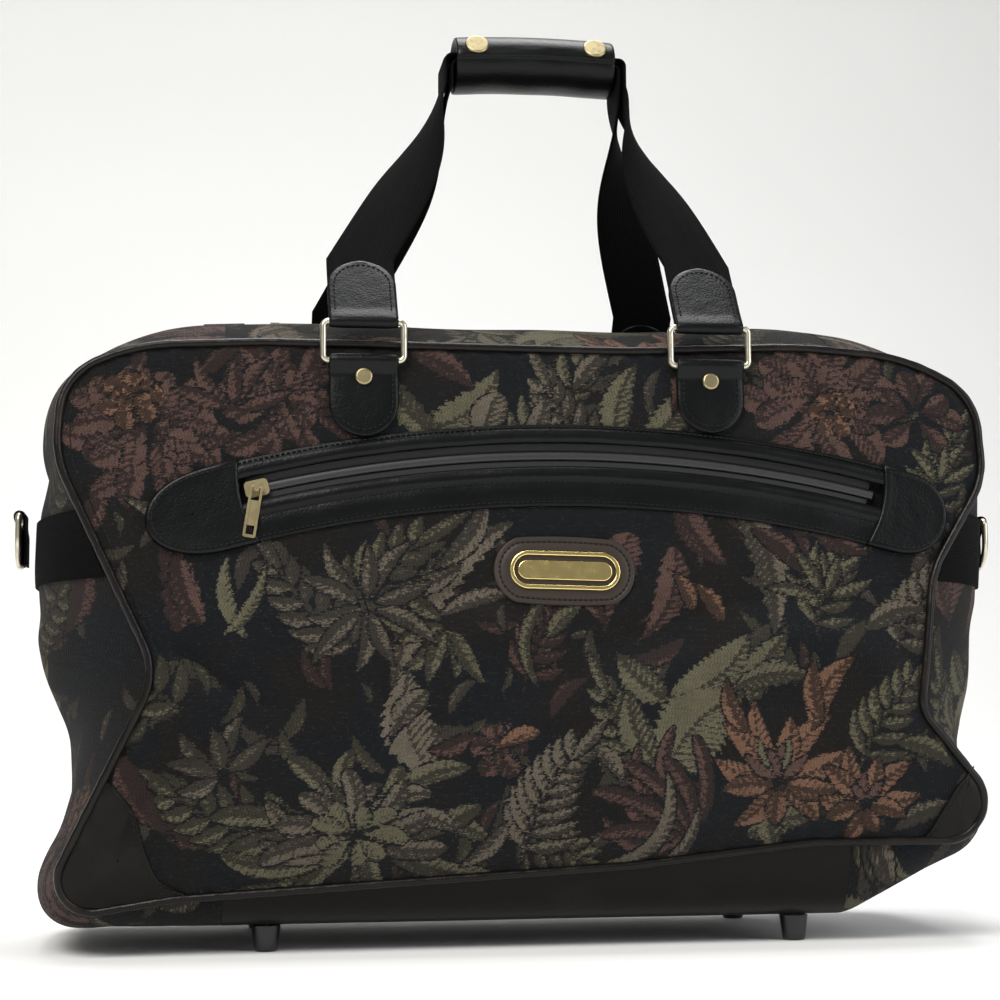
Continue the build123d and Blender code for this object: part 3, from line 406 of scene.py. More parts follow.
def make_stitches(name, path, out, body, pitch=3.3, thickness=0.42):
    """A row of stitches: each is a short bead lying along the path, bowed out at its middle."""
    path, out = np.asarray(path, float), unit(np.broadcast_to(out, np.shape(path)).astype(float))
    run = np.concatenate([[0], np.cumsum(np.linalg.norm(np.diff(path, axis=0), axis=1))])
    count = max(int(run[-1] // pitch), 1)
    middle = (np.arange(count) + 0.5) * run[-1] / count

    def at(places, values):
        return np.stack([np.interp(places, run, axis) for axis in values.T], axis=-1)

    steps = np.array([-0.36, -0.3, 0, 0.3, 0.36]) * pitch
    swell = np.array([0.25, 0.8, 1, 0.8, 0.25]) * thickness
    lift = np.array([-0.35, 0.0, 0.25, 0.0, -0.35]) * thickness
    centre = at(middle[:, None] + steps, path)
    normal = unit(at(middle[:, None] + steps, out))
    along = unit(np.gradient(centre, axis=1))
    side = unit(np.cross(along, normal))
    turn = np.linspace(0, 2 * np.pi, 6, endpoint=False)
    upwards = lift[:, None, None] + swell[:, None, None] * np.sin(turn)[:, None]
    sideways = swell[:, None, None] * np.cos(turn)[:, None]
    ring = centre[:, :, None] + normal[:, :, None] * upwards + side[:, :, None] * sideways
    quads = np.vstack([grid_quads(5, 6, round_columns=True, start=30 * i) for i in range(count)])
    caps = []
    for first in (0, 24):
        hexagon = [first + k for k in (range(6) if first else range(5, -1, -1))]
        caps += [hexagon[:4], [hexagon[0], *hexagon[3:]]]
    caps = (np.array(caps)[None] + 30 * np.arange(count)[:, None, None]).reshape(-1, 4)
    piece = make_mesh(name, ring, np.vstack([quads, caps]), finish("thread"), outwards=True)
    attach(piece, body)
    return piece


# ---- shader maths -----------------------------------------------------------------------
class Value:
    """A number socket; arithmetic on it adds the nodes that do it."""

    def __init__(self, recipe, socket):
        self.recipe, self.socket = recipe, socket

    def math(self, operation, *others):
        return self.recipe.math(operation, self, *others)

    def __add__(self, other):
        return self.math("ADD", other)

    def __sub__(self, other):
        return self.math("SUBTRACT", other)

    def __mul__(self, other):
        return self.math("MULTIPLY", other)

    def __truediv__(self, other):
        return self.math("DIVIDE", other)

    def __rsub__(self, other):
        return self.recipe.math("SUBTRACT", other, self)

    __radd__ = __add__
    __rmul__ = __mul__


class Recipe:
    """One material and the nodes added to it."""

    def __init__(self, name, **surface):
        self.material = bpy.data.materials.new(name)
        self.material.use_nodes = True
        self.nodes = self.material.node_tree.nodes
        self.links = self.material.node_tree.links
        self.shader = self.nodes["Principled BSDF"]
        for socket, value in surface.items():
            self.shader.inputs[socket.replace("_", " ").title().replace("Ior", "IOR")].default_value = value

    def node(self, kind, settings=None, sockets=None):
        """Add a node: its settings first, then the values or links of its sockets."""
        node = self.nodes.new(kind)
        for key, value in (settings or {}).items():
            setattr(node, key, value)
        for key, value in (sockets or {}).items():
            target = node.inputs[key]
            if isinstance(value, Value):
                value = value.socket
            if isinstance(value, bpy.types.NodeSocket):
                self.links.new(value, target)
            else:
                target.default_value = value
        return node

    def math(self, operation, *values):
        node = self.node("ShaderNodeMath", {"operation": operation}, dict(enumerate(values)))
        return Value(self, node.outputs[0])

    def step(self, value, low, high):
        """0 at low, 1 at high, eased between."""
        settings = {"interpolation_type": "SMOOTHSTEP"}
        sockets = {"Value": value, "From Min": low, "From Max": high}
        return Value(self, self.node("ShaderNodeMapRange", settings, sockets).outputs[0])

    def mix(self, share, first, second, blend="MIX"):
        """Blend two colours; a colour is a socket or three numbers."""
        settings = {"data_type": "RGBA", "blend_type": blend}
        colours = {6: first, 7: second}
        colours = {k: (*v, 1) if not isinstance(v, bpy.types.NodeSocket) else v for k, v in colours.items()}
        return self.node("ShaderNodeMix", settings, {0: share, **colours}).outputs[2]

    def place(self):
        """The object's own coordinates, in metres."""
        return self.node("ShaderNodeTexCoord").outputs["Object"]

    def attribute(self, name):
        """The three numbers that a piece's points carry under a name."""
        vector = self.node("ShaderNodeAttribute", {"attribute_name": name}).outputs["Vector"]
        split = self.node("ShaderNodeSeparateXYZ", sockets={0: vector})
        return [Value(self, socket) for socket in split.outputs]

    def vector(self, x, y, z=0.0):
        return self.node("ShaderNodeCombineXYZ", sockets={0: x, 1: y, 2: z}).outputs[0]

    def noise(self, scale, place=None, detail=3.0, rough=0.55):
        place = place or self.place()
        sockets = {"Vector": place, "Scale": scale, "Detail": detail, "Roughness": rough}
        return Value(self, self.node("ShaderNodeTexNoise", sockets=sockets).outputs[0])

    def cells(self, scale, place=None):
        sockets = {"Vector": place or self.place(), "Scale": scale}
        return Value(self, self.node("ShaderNodeTexVoronoi", sockets=sockets).outputs["Distance"])

    def random(self, x, y, salt=0.0):
        """A different number from 0 to 1 for each whole pair."""
        cell = self.vector(x, y, salt)
        settings = {"noise_dimensions": "3D"}
        return Value(self, self.node("ShaderNodeTexWhiteNoise", settings, {0: cell}).outputs[0])

    def surface(self, colour=None, rough=None, metal=None):
        for key, value in (("Base Color", colour), ("Roughness", rough), ("Metallic", metal)):
            if value is not None:
                self.links.new(value.socket if isinstance(value, Value) else value, self.shader.inputs[key])

    def relief(self, *layers):
        """Bumps one after another: (height, distance in metres, strength)."""
        normal = None
        for height, distance, strength in layers:
            sockets = {"Height": height, "Distance": distance, "Strength": strength}
            if normal is not None:
                sockets["Normal"] = normal
            normal = self.node("ShaderNodeBump", sockets=sockets).outputs[0]
        self.links.new(normal, self.shader.inputs["Normal"])


def dimmed(colour, share):
    """A colour with each channel multiplied by a share."""
    return tuple(share * channel for channel in colour)


FINISHES = {}


def finish(name):
    """The finish of that name, made the first time it is asked for."""
    if name not in FINISHES:
        FINISHES[name] = FINISH_RECIPES[name]().material
    return FINISHES[name]


def tapestry_finish():
    """Woven motifs: each point carries how deep it lies in each colour, and how light its yarn is."""
    look = bpy.context.scene.bag_cloth
    r = Recipe("tapestry", specular_ior_level=0.12, sheen_weight=0.04, sheen_roughness=0.5)
    u, v, _ = r.attribute("thread")
    rose, salmon, olive = r.attribute("motif")
    taupe, tone, _ = r.attribute("tone")
    pitch = look.weave_pitch
    row = v / (pitch * 0.5)
    row_index = row.math("FLOOR")
    shift = r.random(row_index, 7.0)
    column = u / (pitch * 1.35) + shift
    column_index = column.math("FLOOR")
    first = r.random(column_index, row_index)
    second = r.random(column_index, row_index, 3.0)
    across = (column.math("FRACT") - 0.5) * 2
    up = (row.math("FRACT") - 0.5) * 2
    yarn = (1 - across * across * across * across) * (1 - up * up)
    ground_noise = r.noise(22, detail=2)
    ground = r.mix(r.step(ground_noise, 0.35, 0.7), look.ground_blue, look.ground_brown)
    flecks = r.step(first, 0.80, 0.95) * r.step(second, 0.2, 0.9)
    ground = r.mix(flecks * 0.55, ground, look.ground_fleck)
    colour = ground
    lit = r.step(tone * 1.1 - first * 0.42, 0.0, 0.34)
    deep = r.mix(0.45, look.ground_brown, look.ground_blue)
    shade = r.noise(60, detail=2)
    yarns = ((olive, look.olive), (taupe, look.taupe), (rose, look.rose), (salmon, look.salmon))
    for depth, yarn_colour in yarns:
        edge = r.step(depth + (second - 0.5) * 1.3, -0.25, 0.25)
        dark = r.mix(0.22, deep, yarn_colour)
        light = r.mix(r.step(shade, 0.3, 0.75) * 0.5, yarn_colour, dimmed(yarn_colour, 0.62))
        colour = r.mix(edge, colour, r.mix(lit, dark, light))
    worn = r.mix(second * 0.35 + 0.12, (1, 1, 1), (0.35, 0.35, 0.35))
    colour = r.mix(1.0, colour, worn, "MULTIPLY")
    # Painted shade and highlight: each yarn's colour darkens towards its edges, where shade falls between
    # threads, and brightens on its crown.
    gap = r.mix(yarn, (0.45, 0.45, 0.45), (1.12, 1.12, 1.12))
    r.surface(r.mix(1.0, colour, gap, "MULTIPLY"), rough=0.95 - lit * 0.12)
    inside = r.step(rose.math("MAXIMUM", olive).math("MAXIMUM", taupe).math("MAXIMUM", salmon), -0.3, 0.4)
    r.relief((inside, 0.0005, 0.5), (yarn, 0.0006, 0.7))
    return r


def vinyl(name, colour, worn, rough=0.3, grain=900.0, gloss=0.17):
    """Soft vinyl: a close pebble grain, broad creases, and a paler, rougher cast where it is rubbed."""
    r = Recipe(name, specular_ior_level=gloss)
    grainy = r.cells(grain)
    broad = r.noise(30, detail=4)
    creases = r.noise(75, detail=5, rough=0.65)
    rubbed = r.step(broad, 0.5, 0.78)
    tint = r.mix(rubbed * 0.55, colour, worn)
    specks = r.step(r.noise(420, detail=2), 0.70, 0.80) * r.step(broad, 0.45, 0.65)
    colour = r.mix(specks * 0.25, tint, dimmed(worn, 3.2))
    r.surface(colour, rough + broad * 0.14 + specks * 0.1 - 0.05)
    r.relief((creases, 0.0012, 0.35), (grainy, 0.00018, 0.4))
    return r


def black_vinyl_finish():
    look = bpy.context.scene.bag_trim
    return vinyl("black_vinyl", look.vinyl, dimmed(look.vinyl, 2.1))


def base_vinyl_finish():
    look = bpy.context.scene.bag_trim
    return vinyl("base_vinyl", look.base_vinyl, dimmed(look.base_vinyl, 2.4), 0.32, 700, 0.13)


def badge_vinyl_finish():
    return vinyl("badge_vinyl", (0.030, 0.023, 0.018), (0.060, 0.047, 0.038), 0.40, 1000)


def piping_finish():
    return vinyl("piping_vinyl", (0.0045, 0.0038, 0.0034), (0.020, 0.014, 0.010), 0.28, 1100, 0.2)


def webbing_finish():
    """Ribbed webbing: cords run along the strap, crossed by a fine herringbone weft; its colour carries
    painted shade in the grooves and a painted highlight on the raised cords.
    """
    look = bpy.context.scene.bag_trim
    r = Recipe("webbing", specular_ior_level=0.06)
    u, v, _ = r.attribute("thread")
    cord = ((v * (2 * np.pi / 1.9)).math("COSINE") + 1) * 0.5
    lane = (v / 3.8).math("FLOOR")
    slant = (lane.math("MODULO", 2.0) * 2 - 1) * v
    weft = ((u * 2 + slant).math("MULTIPLY", 2 * np.pi / 2.1).math("SINE") + 1) * 0.5
    fluff = r.noise(800, detail=2)
    height = cord * 0.5 + weft * 0.5
    # Painted shade and highlight: the colour darkens with the ribs' depth and lightens on their crests;
    # fluff adds random tone.
    tint = r.mix(height * 0.55 + fluff * 0.3, dimmed(look.webbing, 0.55), dimmed(look.webbing, 1.7))
    r.surface(tint, 0.95 - fluff * 0.15)
    r.relief((height, 0.0005, 0.7), (fluff, 0.0002, 0.3))
    return r


def thread_finish():
    """Twisted sewing thread, dark and slightly shiny."""
    r = Recipe("sewing_thread", specular_ior_level=0.15)
    twist = r.noise(1500, detail=1)
    r.surface(r.mix(twist, (0.004, 0.004, 0.004), (0.014, 0.013, 0.012)), 0.5 + twist * 0.2)
    r.relief((twist, 0.0001, 0.5))
    return r


def metal(name, colour, tarnish, rough, spots):
    """Plated metal: bright where rubbed, with darker, rougher tarnish in soft patches."""
    r = Recipe(name, metallic=1.0)
    patches = r.noise(160, detail=4)
    fine = r.noise(1400, detail=2)
    dull = r.step(patches, 0.45, 0.75) * spots
    r.surface(r.mix(dull, colour, tarnish), rough + dull * 0.25 + fine * 0.08)
    r.relief((fine, 0.00004, 0.4), (patches, 0.0001, 0.2))
    return r


def brass_finish():
    look = bpy.context.scene.bag_metal
    return metal("antique_brass", look.brass, dimmed(look.brass, 0.45), 0.3, 0.8)


def ring_finish():
    look = bpy.context.scene.bag_metal
    return metal("ring_metal", look.ring, dimmed(look.ring, 0.5), 0.26, 0.6)


def gilt_finish():
    look = bpy.context.scene.bag_metal
    return metal("gilt_metal", look.gilt, dimmed(look.gilt, 0.6), 0.16, 0.35)


def foot_finish():
    r = Recipe("foot_plastic", specular_ior_level=0.6)
    scuffs = r.noise(260, detail=4)
    worn = r.step(scuffs, 0.58, 0.75)
    r.surface(r.mix(worn, (0.006, 0.006, 0.007), (0.02, 0.02, 0.02)), 0.14 + worn * 0.3)
    r.relief((scuffs, 0.0001, 0.2))
    return r


def zip_tape_finish():
    """Herringbone tape, with painted shade in the grooves between its ribs and paler raised ribs."""
    r = Recipe("zip_tape", roughness=0.9)
    x, y, z = (Value(r, s) for s in r.node("ShaderNodeSeparateXYZ", sockets={0: r.place()}).outputs)
    ribs = ((x + (y + z) * 0.6).math("MULTIPLY", 2 * np.pi / 0.0011).math("SINE") + 1) * 0.5
    # Painted shade: the colour follows the ribs' height, dark in the grooves and light on the crests.
    r.surface(r.mix(ribs, (0.006, 0.006, 0.007), (0.02, 0.02, 0.022)), 0.92 - ribs * 0.1)
    r.relief((ribs, 0.0002, 0.6))
    return r


def coil_finish():
    r = Recipe("zip_coil", roughness=0.4)
    fine = r.noise(900, detail=2)
    r.surface(r.mix(fine, (0.008, 0.008, 0.009), (0.022, 0.022, 0.024)), 0.32 + fine * 0.2)
    r.relief((fine, 0.0001, 0.3))
    return r


def plain_weave(name, dark, light):
    """A plain weave on the object's own coordinates, with painted shade where threads pass under and a
    painted highlight where they pass over.
    """
    r = Recipe(name, roughness=0.9)
    x, y, z = (Value(r, s) for s in r.node("ShaderNodeSeparateXYZ", sockets={0: r.place()}).outputs)
    turns = 2 * np.pi / 0.0014
    across, up = ((x + y) * turns).math("SINE"), (z * turns).math("SINE")
    over = (across * up + 1) * 0.5
    # Painted shade and highlight: the colour follows the weave's height, dark where threads sink and light
    # where they rise.
    r.surface(r.mix(over, dark, light), 0.95 - over * 0.1)
    r.relief((over, 0.0003, 0.5))
    return r


def lining_finish():
    return plain_weave("lining_cloth", (0.012, 0.012, 0.014), (0.03, 0.03, 0.034))


def board_finish():
    r = Recipe("fibre_board", roughness=0.85)
    fibres = r.noise(240, detail=5)
    r.surface(r.mix(fibres, (0.16, 0.12, 0.08), (0.32, 0.26, 0.19)), 0.8 + fibres * 0.1)
    r.relief((fibres, 0.0002, 0.4))
    return r


def steel_finish():
    return metal("washer_steel", (0.55, 0.55, 0.54), (0.3, 0.28, 0.26), 0.35, 0.5)


FINISH_RECIPES = {
    "tapestry": tapestry_finish,
    "black_vinyl": black_vinyl_finish,
    "base_vinyl": base_vinyl_finish,
    "badge_vinyl": badge_vinyl_finish,
    "piping": piping_finish,
    "webbing": webbing_finish,
    "thread": thread_finish,
    "brass": brass_finish,
    "ring": ring_finish,
    "gilt": gilt_finish,
    "foot": foot_finish,
    "zip_tape": zip_tape_finish,
    "coil": coil_finish,
    "lining": lining_finish,
    "board": board_finish,
    "steel": steel_finish,
}


# ---- the woven pattern --------------------------------------------------------------------
COLOURS = ("rose", "salmon", "olive", "taupe")
REPEAT = (520.0, 330.0)


def blade(x0, z0, x1, z1, width, colour, kind="leaf", bow=0.08, light=0.6, teeth=0):
    """One leaf or petal, from its foot to its tip."""
    return (x0, z0, x1, z1, width, colour, kind, bow, light, teeth)


def blossom(x, z, radius, count, colour, light=0.6, squat=1.0, turn=0.0, width=0.8):
    """Two rings of blunt petals round a heart, the outer ring first."""
    petals = []
    for ring, (reach, shade) in enumerate(((1.0, light), (0.66, light + 0.18), (0.34, light - 0.1))):
        number = max(count - 2 * ring, 4)
        for k in range(number):
            angle = turn + 0.55 * ring + 2 * np.pi * k / number + 0.22 * np.sin(3.1 * k + ring)
            swing = reach * radius * (1 + 0.16 * np.sin(5.3 * k + 1.7 * ring))
            tip = (x + swing * np.cos(angle), z + squat * swing * np.sin(angle))
            foot = (x + 0.16 * swing * np.cos(angle), z + squat * 0.16 * swing * np.sin(angle))
            broad = width * 2 * np.pi * reach * radius / number
            petals.append(blade(*foot, *tip, broad, colour, "petal", 0.1 * (-1) ** k, shade, 5))
    return petals


def fern(x0, z0, x1, z1, pairs, length, width, colour, light=0.5, bow=0.1):
    """Pointed leaflets in pairs along a bowed stem, shorter towards its tip."""
    leaflets = [blade(x0, z0, x1, z1, 2.4, colour, "strap", bow, light - 0.1)]
    heading = np.arctan2(z1 - z0, x1 - x0)
    run = np.hypot(x1 - x0, z1 - z0)
    for k in range(pairs):
        t = 0.12 + 0.8 * k / pairs
        off = bow * run * 4 * t * (1 - t)
        x = x0 + (x1 - x0) * t - off * np.sin(heading)
        z = z0 + (z1 - z0) * t + off * np.cos(heading)
        for side in (-1, 1):
            angle = heading + side * (0.95 - 0.45 * t)
            reach = length * (1.05 - 0.6 * t)
            tip = (x + reach * np.cos(angle), z + reach * np.sin(angle))
            leaflets.append(blade(x, z, *tip, width, colour, "leaf", 0.08 * side, light + 0.1 * side))
    tip = (x1 + 0.2 * (x1 - x0), z1 + 0.2 * (z1 - z0))
    leaflets.append(blade(x, z, *tip, width, colour, "leaf", 0, light))
    return leaflets


def fan(x, z, first, last, count, length, width, colour, light=0.5, kind="strap", bow=0.12, squat=1.0):
    """Blades spread from one foot between two angles, in degrees."""
    blades = []
    for k, angle in enumerate(np.radians(np.linspace(first, last, count))):
        reach = length * (1 + 0.14 * np.sin(2.3 * k))
        tip = (x + reach * np.cos(angle), z + squat * reach * np.sin(angle))
        foot = (x + 0.12 * reach * np.cos(angle), z + 0.12 * squat * reach * np.sin(angle))
        curve = bow * (1 if k % 2 else -0.4)
        blades.append(blade(*foot, *tip, width, colour, kind, curve, light + 0.12 * (k % 2)))
    return blades


def ground_leaves(count=230):
    """Small dim leaves scattered over the whole repeat; the same ones each time."""
    pick = np.random.RandomState(11)
    blades = []
    for x, z, angle, size, choice in pick.rand(count, 5):
        turn = 2 * np.pi * angle
        length = 12 + 26 * size
        x, z = (x - 0.5) * REPEAT[0], 20 + z * REPEAT[1]
        colour = ("olive", "taupe", "olive", "taupe", "rose")[int(5 * choice)]
        tip = (x + length * np.cos(turn), z + length * np.sin(turn))
        blades.append(blade(x, z, *tip, 4 + 7 * size, colour, "leaf", 0.14, 0.08 + 0.14 * choice, 4))
    return blades


def pattern_blades():
    """The pattern's leaves and flowers, from the lowest layer to the highest."""
    b = ground_leaves()
    # ferns and fronds behind the flowers
    b += fern(-118, 168, -52, 226, 6, 30, 8, "olive", 0.22)
    b += fern(-95, 160, -150, 222, 6, 28, 8, "taupe", 0.2)
    b += fern(-10, 256, 40, 330, 6, 30, 7, "olive", 0.45)
    b += fern(40, 262, 2, 322, 6, 24, 7, "taupe", 0.4)
    b += fern(222, 232, 246, 290, 6, 22, 5, "olive", 0.35)
    b += fern(150, 168, 182, 222, 6, 24, 6, "olive", 0.38)
    b += fern(196, 158, 236, 206, 6, 26, 8, "taupe", 0.36)
    b += fern(-150, 66, -208, 96, 5, 26, 8, "olive", 0.22)
    b += fern(-190, 130, -236, 176, 5, 24, 8, "olive", 0.2)
    b += fern(-12, 138, 26, 206, 7, 22, 6, "rose", 0.3)
    b += fern(-20, 60, 30, 42, 5, 22, 6, "olive", 0.35)
    b += fern(175, 96, 216, 150, 6, 26, 7, "olive", 0.35)
    b += fern(60, 96, 30, 150, 5, 22, 6, "olive", 0.4)
    # the upper left peonies
    b += [blade(-236, 250, -262, 214, 16, "rose", "leaf", 0.1, 0.3, 5)]
    b += fan(-212, 284, 160, 400, 11, 46, 15, "rose", 0.5, "petal", 0.14)
    b += blossom(-212, 284, 36, 10, "rose", 0.62)
    b += blossom(-222, 300, 17, 7, "salmon", 0.4)
    b += fan(-138, 296, -60, 250, 11, 38, 12, "rose", 0.42, "petal", 0.12)
    b += blossom(-140, 298, 25, 9, "rose", 0.5)
    b += fan(-168, 292, 20, 160, 5, 34, 8, "rose", 0.4, "leaf", 0.1)
    b += [
        blade(-214, 232, -196, 172, 22, "rose", "petal", 0.12, 0.34, 4),
        blade(-196, 226, -184, 176, 17, "rose", "petal", -0.1, 0.42, 4),
    ]
    b += [
        blade(-160, 168, -170, 214, 9, "olive", "leaf", 0.14, 0.75),
        blade(-172, 170, -150, 208, 7, "olive", "leaf", -0.1, 0.6),
    ]
    b += [
        blade(-182, 236, -226, 244, 9, "taupe", "leaf", 0.1, 0.4),
        blade(-150, 232, -128, 262, 10, "olive", "leaf", 0.1, 0.4),
    ]
    # the top middle
    b += [
        blade(-66, 284, -22, 318, 24, "olive", "leaf", -0.16, 0.62, 7),
        blade(-52, 276, -88, 322, 18, "olive", "leaf", 0.1, 0.4, 5),
    ]
    b += [
        blade(-30, 268, -22, 304, 19, "taupe", "petal", 0.1, 0.62),
        blade(-16, 270, 4, 300, 12, "taupe", "petal", -0.1, 0.5),
    ]
    b += [blade(-70, 326, -36, 306, 16, "rose", "leaf", 0.1, 0.4, 4)]
    b += [
        blade(44, 272, 56, 322, 20, "olive", "leaf", 0.12, 0.6, 7),
        blade(56, 276, 90, 318, 21, "olive", "leaf", -0.1, 0.5, 7),
    ]
    b += [
        blade(76, 292, 94, 322, 18, "rose", "petal", 0.1, 0.45, 4),
        blade(20, 306, 44, 330, 10, "taupe", "leaf", 0.1, 0.5),
    ]
    # the right-hand blossom
    b += fan(160, 300, -70, 250, 13, 44, 16, "rose", 0.5, "petal", 0.12)
    b += blossom(160, 302, 30, 9, "rose", 0.66)
    b += blossom(168, 296, 14, 6, "salmon", 0.4)
    b += fan(216, 294, -50, 220, 8, 26, 12, "rose", 0.4, "petal", 0.12)
    b += fan(228, 254, 30, 150, 6, 26, 6, "olive", 0.46, "leaf")
    # below the pocket
    b += [
        blade(-16, 232, -82, 132, 24, "taupe", "leaf", -0.14, 0.5, 9),
        blade(-30, 244, -60, 206, 12, "taupe", "leaf", 0.12, 0.46),
    ]
    b += [
        blade(-44, 208, -86, 196, 10, "taupe", "leaf", 0.12, 0.55),
        blade(-56, 180, -14, 192, 9, "taupe", "leaf", 0.1, 0.4),
    ]
    b += fan(-52, 176, 150, 300, 7, 34, 9, "olive", 0.34, "leaf")
    b += fan(-96, 186, 20, 330, 10, 38, 9, "taupe", 0.26, "leaf")
    b += [
        blade(34, 168, 50, 226, 30, "rose", "petal", 0.1, 0.7, 6),
        blade(50, 164, 74, 218, 22, "rose", "petal", -0.14, 0.6, 6),
    ]
    b += [blade(36, 172, 26, 208, 15, "rose", "petal", 0.1, 0.5, 5)]
    b += [
        blade(78, 250, 104, 208, 20, "rose", "leaf", -0.12, 0.42, 7),
        blade(96, 252, 116, 216, 13, "rose", "leaf", 0.1, 0.36, 5),
    ]
    b += [
        blade(106, 246, 126, 168, 24, "taupe", "leaf", 0.16, 0.4, 6),
        blade(118, 228, 150, 200, 12, "rose", "leaf", 0.1, 0.36),
    ]
    b += [
        blade(122, 250, 150, 224, 17, "rose", "leaf", 0.1, 0.5, 5),
        blade(150, 240, 184, 214, 17, "rose", "leaf", -0.1, 0.4, 5),
    ]
    b += [
        blade(80, 200, 100, 178, 11, "salmon", "petal", 0.1, 0.36, 3),
        blade(70, 206, 84, 184, 9, "salmon", "petal", 0.1, 0.3),
    ]
    b += fan(158, 190, 20, 170, 7, 30, 7, "olive", 0.4, "leaf")
    b += [
        blade(196, 236, 222, 214, 13, "olive", "leaf", 0.1, 0.4, 4),
        blade(180, 172, 216, 184, 15, "taupe", "leaf", 0.12, 0.42, 5),
    ]
    # the broad leaves of the lower right
    b += [
        blade(66, 134, 40, 160, 22, "olive", "leaf", 0.1, 0.5, 6),
        blade(68, 136, 112, 170, 30, "olive", "leaf", -0.14, 0.66, 9),
    ]
    b += [
        blade(64, 92, 110, 138, 46, "olive", "leaf", 0.12, 0.72, 9),
        blade(60, 100, 44, 140, 20, "olive", "leaf", 0.1, 0.56, 6),
    ]
    b += [
        blade(114, 132, 134, 170, 22, "olive", "leaf", 0.1, 0.5, 6),
        blade(104, 140, 150, 146, 16, "olive", "leaf", 0.12, 0.46, 5),
    ]
    b += [
        blade(112, 60, 150, 70, 20, "olive", "leaf", 0.12, 0.55, 6),
        blade(130, 52, 124, 82, 15, "olive", "leaf", 0.1, 0.5, 5),
    ]
    b += [
        blade(196, 110, 230, 96, 13, "olive", "leaf", 0.12, 0.4, 5),
        blade(196, 62, 236, 74, 13, "taupe", "leaf", 0.12, 0.3, 5),
    ]
    b += fan(84, 58, 92, 176, 9, 58, 8, "rose", 0.34, "strap", 0.22)
    b += [
        blade(24, 44, 66, 96, 8, "taupe", "strap", -0.3, 0.6),
        blade(40, 42, 84, 76, 7, "taupe", "strap", -0.26, 0.45),
    ]
    # the star lilies
    b += fan(128, 88, 24, 158, 6, 44, 13, "salmon", 0.72, "leaf", 0.1, 1.0)
    b += fan(128, 88, 186, 354, 5, 33, 12, "salmon", 0.5, "leaf", 0.12, 0.8)
    b += fan(128, 90, 40, 140, 4, 22, 6, "rose", 0.85, "leaf", 0.1)
    b += [
        blade(124, 96, 118, 112, 3, "olive", "strap", 0.1, 0.9),
        blade(130, 96, 134, 113, 3, "olive", "strap", -0.1, 0.9),
    ]
    b += [
        blade(148, 118, 172, 158, 15, "salmon", "leaf", 0.12, 0.62),
        blade(154, 122, 150, 156, 10, "salmon", "leaf", 0.1, 0.46),
    ]
    b += [blade(112, 116, 100, 146, 10, "salmon", "leaf", 0.1, 0.5)]
    b += fan(178, 76, 10, 170, 6, 32, 11, "salmon", 0.56, "leaf", 0.1)
    b += fan(178, 76, 200, 340, 4, 24, 10, "salmon", 0.4, "leaf", 0.1, 0.8)
    b += fan(178, 78, 50, 130, 3, 15, 5, "rose", 0.8, "leaf", 0.1)
    # the lower left
    b += [
        blade(-62, 94, -74, 152, 32, "taupe", "leaf", 0.12, 0.7, 7),
        blade(-84, 112, -64, 140, 13, "taupe", "petal", 0.1, 0.5),
    ]
    b += fan(-100, 62, -170, 190, 16, 74, 11, "olive", 0.40, "strap", 0.16, 0.62)
    b += fan(-102, 62, -10, 200, 13, 50, 10, "taupe", 0.5, "strap", 0.18, 0.66)
    b += fan(-102, 64, 0, 350, 10, 25, 9, "olive", 0.7, "petal", 0.1, 0.7)
    b += blossom(-26, 110, 16, 6, "rose", 0.45)
    b += [
        blade(-30, 106, -4, 118, 9, "salmon", "petal", 0.1, 0.5),
        blade(-40, 116, -64, 108, 9, "rose", "leaf", 0.1, 0.3),
    ]
    b += fern(-12, 46, 26, 112, 8, 30, 7, "taupe", 0.52, 0.12)
    b += [
        blade(-20, 70, -46, 46, 9, "taupe", "leaf", 0.1, 0.45),
        blade(26, 110, 42, 90, 9, "taupe", "leaf", 0.1, 0.5),
    ]
    b += [
        blade(-4, 142, 2, 190, 6, "olive", "strap", 0.2, 0.4),
        blade(2, 168, 22, 186, 9, "olive", "leaf", 0.1, 0.4),
    ]
    b += [
        blade(-196, 62, -226, 106, 19, "rose", "petal", 0.1, 0.24, 4),
        blade(-238, 118, -226, 160, 20, "rose", "petal", 0.1, 0.36, 4),
    ]
    b += fan(-172, 96, 40, 200, 6, 30, 9, "taupe", 0.16, "leaf")
    return b


BLADES = pattern_blades()


def blade_depth(piece, u, v):
    """How deep points lie in a blade (mm, positive inside) and how light its yarn is there.

    Across a bowed middle line the half width follows sin(pi t) to a power (a petal's is
    widest past its middle, a strap's even with round ends), less a saw tooth for teeth.
    """
    x0, z0, x1, z1, width, _, kind, bow, light, teeth = piece
    run = np.hypot(x1 - x0, z1 - z0)
    cos, sin = (x1 - x0) / run, (z1 - z0) / run
    t = ((u - x0) * cos + (v - z0) * sin) / run
    w = -(u - x0) * sin + (v - z0) * cos
    inside = np.clip(t, 0, 1)
    w = w - bow * run * 4 * inside * (1 - inside)
    if kind == "leaf":
        half = np.sin(np.pi * inside**0.85) ** 0.85
    elif kind == "petal":
        half = np.sin(np.pi * inside**1.7) ** 0.5 * np.clip(inside * 2.2, 0, 1) ** 0.6
    else:
        half = np.clip(4 * inside, 0, 1) ** 0.5 * np.clip(6 * (1 - inside), 0, 1) ** 0.5
    half = half * width / 2
    if teeth:
        half = half * (1 - 0.3 * ((t * teeth * 1.6) % 1.0))
    beyond = np.maximum(np.maximum(-t, t - 1), 0) * run
    depth = (half - np.abs(w)) * 0.9 - beyond
    slant = (t * run - 0.75 * np.abs(w)) / 3.9
    hatch = 0.5 + 0.5 * np.cos(2 * np.pi * slant)
    rib = np.exp(-((w / 1.3) ** 2)) if width > 9 else 0
    rim = np.exp(-np.maximum(depth, 0) / 1.5)
    yarn = light * (0.5 + 0.8 * hatch) + 0.16 * np.sign(w) - 0.5 * rib - 0.2 * rim
    return depth, np.clip(yarn, 0.02, 1.0)


